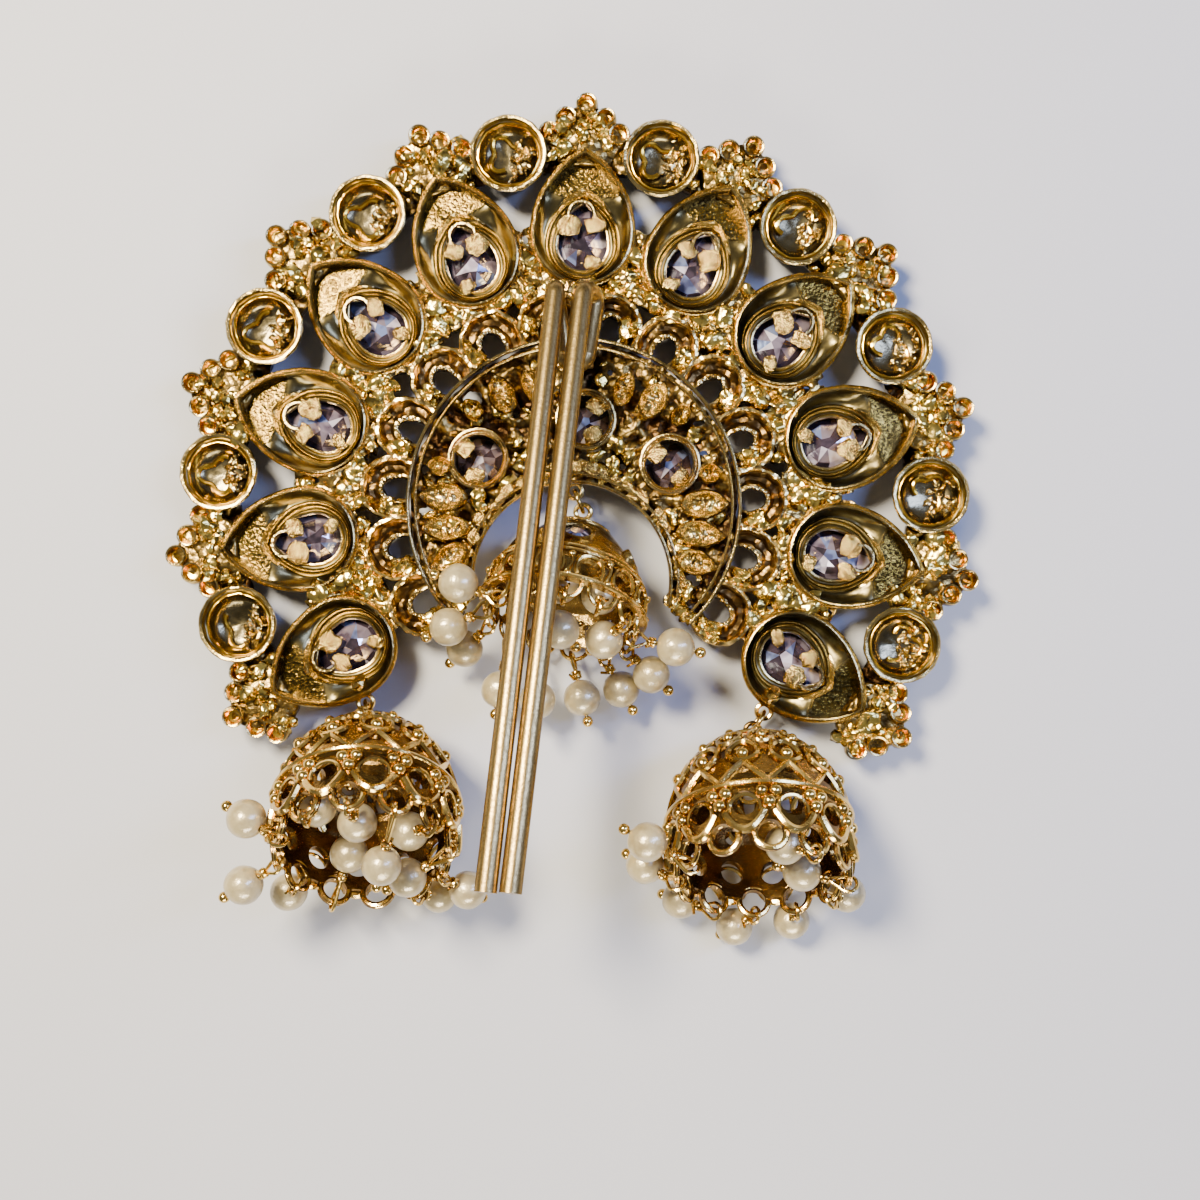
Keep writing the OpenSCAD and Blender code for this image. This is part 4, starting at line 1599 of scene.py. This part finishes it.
@dataclass
class MiddleBell:
    """The middle bell: a pierced cap with oval settings, a double band and a wire rim."""

    radius: float = 7.9
    loops: int = 13
    seats: int = 5
    seat_reach: float = 5.75
    seat_lean: float = -117.0
    wall: float = 0.6
    seed: int = 8

    # Half section of the cap from its mouth to its top: radius and height
    section = (
        (8.05, 0.0), (7.85, -0.7), (7.75, -2.3), (7.35, -3.4), (6.55, -4.7), (5.5, -6.3),
        (3.9, -8.2), (2.0, -9.6), (0.0, -10.2),
    )
    # Half section of an oval setting's wall
    seat_profile = (
        (0.72, -1.3), (1.12, -1.3), (1.16, 0.3), (1.1, 0.46), (0.98, 0.5), (0.88, 0.4),
        (0.84, 0.0), (0.72, -0.2),
    )
    # Wire rings: share of the way from mouth to top, distance outwards, radius of the wire
    wires = ((0.345, 0.1, 0.2), (0.41, 0.1, 0.17), (0.03, 0.1, 0.24), (0.8, 0.05, 0.15))
    # Beads between the arches: share of the way, size
    beads = ((0.27, 1.1), (0.06, 0.9))

    def on_cap(self, angle: float, share: float, out: float = 0.0) -> Vector:
        """Point on the cap.

        Args:
            angle: angle round the axis.
            share: share of the way from the mouth to the top.
            out: distance outwards.

        Returns:
            The point.
        """
        spot = share * (len(self.section) - 1)
        first = min(int(spot), len(self.section) - 2)
        (r, z), (r_next, z_next) = self.section[first], self.section[first + 1]
        part = spot - first
        r, z = r + (r_next - r) * part + out * 0.85, z + (z_next - z) * part - out * 0.5
        return polar(angle, r, z)

    def pierced(self, x: float, y: float) -> bool:
        """Whether the wall is open at a place on its flat sheet of size 1."""
        angle = (x * 180.0) % (360.0 / self.loops) - 180.0 / self.loops
        low = self.on_cap(0.0, (y + 1) / 2).z
        arched = math.hypot(angle / 8.0, (low + 1.45) / 0.95) < 1.0
        slot = math.hypot((abs(angle) - 13.8) / 4.2, (low + 2.45) / 0.32) < 1.0
        return arched or slot

    def shell(self) -> Form:
        """The cap's wall."""
        bm = bmesh.new()
        bmesh.ops.create_grid(bm, x_segments=312, y_segments=64, size=1.0)
        gone = [f for f in bm.faces if self.pierced(*f.calc_center_median().xy)]
        bmesh.ops.delete(bm, geom=gone, context="FACES")
        smooth_border(bm, 2, 0.999)
        for vert in bm.verts:
            vert.co = self.on_cap(vert.co.x * 180.0, (vert.co.y + 1) / 2)
        bmesh.ops.remove_doubles(bm, verts=bm.verts, dist=1e-3)
        bmesh.ops.recalc_face_normals(bm, faces=bm.faces)
        bmesh.ops.solidify(bm, geom=bm.faces[:], thickness=self.wall)
        return roughened(settle(bm), 0.06, 1.2, 6)

    def seat(self, number: int) -> Matrix:
        """Place of an oval setting, with Z outwards."""
        around = HANGS[Side.MIDDLE].place() @ turn(360.0 / self.seats * number, "Z")
        return around @ shift(0, self.seat_reach, -self.seat_reach) @ turn(self.seat_lean, "X")

    def scallop(self, angle: float) -> list[Form]:
        """The wire over an arch of the wall, and the stem beside it."""
        pitch = 360.0 / self.loops
        arch = [
            self.on_cap(angle + 9.6 * math.cos(t), 0.175 + 0.125 * math.sin(t), 0.08)
            for t in (math.pi * k / 12 for k in range(-2, 15))
        ]
        stem = [
            self.on_cap(angle + pitch / 2 + 1.5 * math.sin(k * 1.3), 0.05 + 0.045 * k, 0.12)
            for k in range(6)
        ]
        return [tube(arch, 0.2, 6), tube(stem, 0.17, 6)]

    def wire_work(self, cap: Piece) -> None:
        """Adds the rings, rim loops, arches, beads and the eye."""
        hang = HANGS[Side.MIDDLE]
        place = hang.place()
        for share, out, wire in self.wires:
            path = [self.on_cap(5.0 * k, share, out) for k in range(72)]
            cap.add(tube(path, wire, closed=True), place, CapTone.WIRE)
        loop, ball = hoop(LOOP_R, 0.22), bead(0.36, 8, 10)
        pitch = 360.0 / self.loops
        for i in range(self.loops):
            at = place @ turn(-pitch * i, "Z") @ shift(0, self.radius - LOOP_IN, LOOP_Z)
            cap.add(loop, at @ turn(90, "X"), CapTone.WIRE)
            angle = pitch * (i + 0.5)
            arch, stem = self.scallop(angle)
            cap.add(arch, place, CapTone.WIRE)
            for share, size in self.beads:
                spot = self.on_cap(angle + pitch / 2, share, 0.15)
                at = place @ Matrix.Translation(spot) @ stretch(size, size, size)
                cap.add(ball, at, CapTone.WIRE)
            cap.add(stem, place, CapTone.WIRE)
        top = place @ shift(0, 0, -hang.length)
        cap.add(eye(), top @ turn(hang.rise - 90, "X"), CapTone.WIRE)
        rise = radians(hang.rise)
        below = shift(0, -0.95 * math.sin(rise), 0.95 * math.cos(rise))
        cap.add(bead(0.5), top @ below, CapTone.WIRE)

    def build(self, finishes: Finishes) -> None:
        """Builds and dresses the cap, its settings and their stones."""
        rng = Chance(self.seed)
        cap = Piece("middle_cap")
        cap.add(self.shell(), HANGS[Side.MIDDLE].place(), CapTone.CONE)
        self.wire_work(cap)
        wall = lathe(self.seat_profile, 32, closed=True)
        wall.transform(stretch(1.5, 1.0, 1.0))
        stones = Piece("bell_cut_stones")
        oval = [(1.2 * v.x, 0.8 * v.y) for v in arc(1.0, 0, 360, 40)[:-1]]
        for i in range(self.seats):
            seat = self.seat(i)
            cap.add(wall, seat, CapTone.CONE)
            face_down = seat @ shift(0, 0, 0.42) @ turn(180, "X")
            stones.add(CutStones().stone_form(oval, rng), face_down @ stretch(1, 1, 0.3))
        cap.set_down(finishes.palette(CapTone), "bell_gold", ["bell_middle"])
        stones.set_down(finishes.stones, "stone", ["bell_stones"], FACET_CREASE)


# Head pins: number of the rim loop, lean, sway, distance to the pearl's middle
Pin = tuple[int, float, float, float]

PINS = {
    Side.LEFT: (
        (0, -110, 0, 5), (1, -70, 10, 6), (2, -120, 20, 5), (3, -80, 30, 5), (4, 100, 30, 4),
        (5, 120, 0, 4), (7, -130, 0, 5), (8, 120, -30, 4), (9, 80, -30, 4), (10, 130, -20, 4),
        (11, -140, -20, 5.5),
    ),
    Side.RIGHT: (
        (1, -120, -10, 4), (3, -110, 10, 4.5), (4, 120, 20, 4), (5, 100, 30, 4),
        (6, 90, 30, 3.5), (7, 120, 20, 4.5), (9, 130, -20, 4), (10, 120, -20, 4.5),
    ),
    Side.MIDDLE: (
        (0, -130, -10, 4), (1, -130, 20, 5), (2, -80, 30, 4), (3, 90, 10, 4), (4, 70, 10, 3.5),
        (5, 50, -10, 3.5), (6, 20, -20, 4), (7, 0, -10, 5), (8, 10, -10, 5), (9, 60, -30, 4),
        (10, 60, -30, 4), (11, 100, -30, 4), (12, -70, 20, 5),
    ),
}


@dataclass
class PearlDrops:
    """Pearls on ball-ended head pins, wrapped with thin wire."""

    side: Side
    bell_r: float
    loops: int
    pins: Sequence[Pin]
    pearl_r: float = 1.85
    bore: float = 0.3
    eye_r: float = 0.8
    wrap_r: float = 0.38
    wrap_length: float = 0.75
    wrap_turns: float = 3.1

    def at_pin(self, pin: Pin) -> Matrix:
        """Place of a pin's eye, with Z along the pin."""
        number, lean, sway, _ = pin
        return (
            HANGS[self.side].place()
            @ turn(-360.0 * number / self.loops, "Z")
            @ shift(0, self.bell_r - LOOP_IN, 1.675)
            @ turn(-lean, "X")
            @ turn(sway, "Y")
        )

    def pearl_form(self, seed: int) -> Form:
        """A drilled pearl that isn't quite round."""
        steps = 22
        lip = math.degrees(math.asin(self.bore / self.pearl_r))
        angles = (radians(lip + (180 - 2 * lip) * i / steps) for i in range(steps + 1))
        skin = [(self.pearl_r * math.sin(a), self.pearl_r * math.cos(a)) for a in angles]
        wall, deep = self.bore * 0.9, self.pearl_r * 0.6
        form = lathe([(wall, deep), *skin, (wall, -deep)], 32, closed=True)
        return roughened(form, 0.05, 1.6, seed)

    def pin_form(self, length: float, rng: Chance) -> Form:
        """A head pin: long narrow eye, wrapped stem and ball end."""
        bottom = length - self.pearl_r - 0.15
        neck = bottom - self.wrap_length
        turns = (radians(-25 + 230 * k / 18) for k in range(19))
        loop = [Vector((0.0, 0.16, neck))]
        loop += [Vector((0.0, self.eye_r * math.cos(t), -self.eye_r * math.sin(t))) for t in turns]
        loop.append(Vector((0.0, -0.16, neck)))
        stem = [Vector((0, 0, neck)), Vector((0, 0, length + self.pearl_r + 0.3))]
        wrap = []
        for k in range(40):
            angle = k / 39 * self.wrap_turns * 2 * math.pi
            x, y = self.wrap_r * math.cos(angle), self.wrap_r * math.sin(angle)
            wrap.append(Vector((x, y, bottom - self.wrap_length * k / 39)))
        tail = rng.uniform(0.4, 1.4)
        end = wrap[0] + Vector((0.2 * math.sin(tail), -1.1 * math.cos(tail), -0.9 * math.sin(tail)))
        ball = bead(0.55, 10, 14)
        ball.transform(shift(0, 0, length + self.pearl_r + 0.6))
        gather = bmesh.new()
        for form in (tube(loop, 0.18), tube(stem, 0.2), tube([end, *wrap], 0.15, 6), ball):
            gather.from_mesh(form)
        return settle(gather)

    def build(self, finishes: Finishes) -> None:
        """Builds and dresses the drops."""
        rng = Chance(len(self.pins))
        name = self.side.value
        pearls, wires = Piece(f"pearl_drops_{name}"), Piece(f"head_pins_{name}")
        for i, pin in enumerate(self.pins):
            place, length = self.at_pin(pin), pin[3]
            pearls.add(self.pearl_form(i), place @ shift(0, 0, length))
            wires.add(self.pin_form(length, rng), place)
        pearls.set_down([finishes.pearl], "pearl", [f"pearls_{name}"])
        wires.set_down([finishes.wire], "bell_gold", [f"pins_{name}"])


@dataclass
class HairFork:
    """The folded wire of the fork, its solder, and a dark lump that paints the shade at its top
    bend.
    """

    wire: float = 1.0
    bend_steps: int = 12
    end_steps: int = 20

    # Corners of the wire's route and the radius of its bend there
    route = (
        (-6.13, -34.8, 24.0, 0.0), (-2.14, 21.3, 9.92, 1.9), (-2.4, 21.3, 6.15, 1.9),
        (-2.4, 12.9, 6.15, 2.0), (1.8, 12.9, 6.15, 2.0), (1.8, 21.3, 6.15, 1.9),
        (0.0, 21.3, 9.92, 1.9), (-3.99, -34.8, 24.0, 0.0),
    )
    # Lumps of solder, and a dark lump of painted shade at the top bend: finish, place, width,
    # length, height
    lumps = (
        (SolderTone.SOLDER, (-0.3, 15.3, 5.4), (3.5, 3.5, 1.25)),
        # A dark lump in the shell finish that paints the shade at the wire's top bend
        (SolderTone.SHELL, (-1.07, 20.3, 9.2), (0.7, 1.6, 0.8)),
    )

    def path(self) -> list[Vector]:
        """Middle line of the wire with its bends rounded."""
        corners = [Vector(row[:3]) for row in self.route]
        points = [corners[0]]
        for i in range(1, len(corners) - 1):
            bend = self.route[i][3]
            back = (corners[i - 1] - corners[i]).normalized()
            on = (corners[i + 1] - corners[i]).normalized()
            inside = back.angle(on)
            away = bend / math.tan(inside / 2)
            centre = corners[i] + (back + on).normalized() * bend / math.sin(inside / 2)
            start, end = corners[i] + back * away - centre, corners[i] + on * away - centre
            for k in range(self.bend_steps + 1):
                points.append(centre + start.slerp(end, k / self.bend_steps))
        points.append(corners[-1])
        return points

    def build(self, finishes: Finishes) -> None:
        """Builds and dresses the fork, its solder and the dark lump of painted shade."""
        path, steps = self.path(), self.end_steps
        fine = [path[0] + (path[1] - path[0]) * k / steps for k in range(steps)]
        fine += path[1:-1]
        fine += [path[-2] + (path[-1] - path[-2]) * k / steps for k in range(1, steps + 1)]
        fork = Piece("fork_wire")
        fork.add(tube(fine, self.wire, 28))
        fork.set_down([finishes.fork], "fork_gold", ["hair_fork"], ROD_CREASE)
        solder = Piece("fork_solder_and_painted_shade")
        for tone, at, size in self.lumps:
            bm = bmesh.new()
            bmesh.ops.create_cube(bm, size=1.0)
            bmesh.ops.subdivide_edges(bm, edges=bm.edges, cuts=9, use_grid_fill=True)
            lump = settle(bm)
            lump.transform(stretch(*size))
            solder.add(roughened(lump, 0.16, 0.5, 3), shift(*at), tone)
        solder.set_down(finishes.palette(SolderTone), "fork_gold", ["hair_fork"])


@dataclass
class Studio:
    """Floor, lights and camera, in millimetres."""

    centre: tuple = (2.857, -8.09)
    eye: float = 144.0
    half_angle: float = 23.2
    roll: float = 1.8
    sky_colour: tuple = (0.55, 0.56, 0.58, 1.0)
    sky_strength: float = 0.36

    # Lamps: name, place, width and height, power in watts, colour
    lamps = (
        ("key", (-130, 110, 270), (80, 80), 4.0, (1.0, 0.90, 0.74)),
        ("sky", (170, 60, 200), (40, 180), 0.95, (0.30, 0.43, 1.0)),
        ("fill", (30, -260, 150), (160, 70), 1.2, (1.0, 0.95, 0.88)),
    )

    @staticmethod
    def link(name: str, data: bpy.types.ID) -> bpy.types.Object:
        """Makes an object and links it to the scene."""
        obj = bpy.data.objects.new(name, data)
        bpy.context.scene.collection.objects.link(obj)
        return obj

    def lamp(self, name: str, at: tuple, size: Flat, power: float, colour: tuple) -> None:
        """Adds a soft rectangular light that faces the pin.

        Args:
            name: its name.
            at: its place.
            size: its width and height.
            power: its power in watts.
            colour: its colour.
        """
        light = bpy.data.lights.new(name, "AREA")
        light.shape = "RECTANGLE"
        light.size, light.size_y = size[0] * MM, size[1] * MM
        light.energy = power
        light.color = colour
        obj = self.link(name, light)
        obj.location = Vector(at) * MM
        obj.rotation_euler = (-obj.location).to_track_quat("-Z", "Y").to_euler()

    def build(self) -> None:
        """Builds the floor, the lights and the camera."""
        bm = bmesh.new()
        bmesh.ops.create_grid(bm, x_segments=2, y_segments=2, size=1.2)
        floor = self.link("floor", settle(bm, "floor"))
        floor.data.materials.append(PaleFloor().material())

        world = bpy.data.worlds.new("studio")
        world.use_nodes = True
        sky = world.node_tree.nodes["Background"].inputs
        sky["Color"].default_value = self.sky_colour
        sky["Strength"].default_value = self.sky_strength
        bpy.context.scene.world = world
        for row in self.lamps:
            self.lamp(*row)

        camera = bpy.data.cameras.new("photo")
        camera.sensor_width = 36.0
        camera.lens = camera.sensor_width / 2 / math.tan(radians(self.half_angle))
        camera.clip_start = 0.005
        camera.clip_end = 10.0
        obj = self.link("photo", camera)
        obj.location = (self.centre[0] * MM, self.centre[1] * MM, self.eye * MM)
        obj.rotation_euler = (0.0, 0.0, radians(self.roll))
        bpy.context.scene.camera = obj


def dress(node: bpy.types.Object, finish: bpy.types.Material) -> None:
    """Gives a node of the frame its finish."""
    node.data.materials.clear()
    node.data.materials.append(finish)


def main() -> None:
    """Builds the pin."""
    logging.basicConfig(level=logging.INFO, format="%(message)s")
    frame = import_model()
    # mathutils' noise vectors start from the clock, so their seed is fixed here.
    noise.seed_set(NOISE_SEED)
    finishes = Finishes()
    Studio().build()
    parts = [FanPlate(), CrescentPlate(), CutStones(), HairFork()]
    parts += [SideBell(Side.LEFT), SideBell(Side.RIGHT), MiddleBell()]
    for side, pins in PINS.items():
        bell = MiddleBell if side is Side.MIDDLE else SideBell
        parts.append(PearlDrops(side, bell.radius, bell.loops, pins))
    for part in parts:
        part.build(finishes)
    for name, node in frame["nodes"].items():
        if name in ("bell_left", "bell_right"):
            dress(node, finishes.shell)
        elif name.startswith("ring_"):
            dress(node, finishes.wire)


if __name__ == "__main__":
    main()
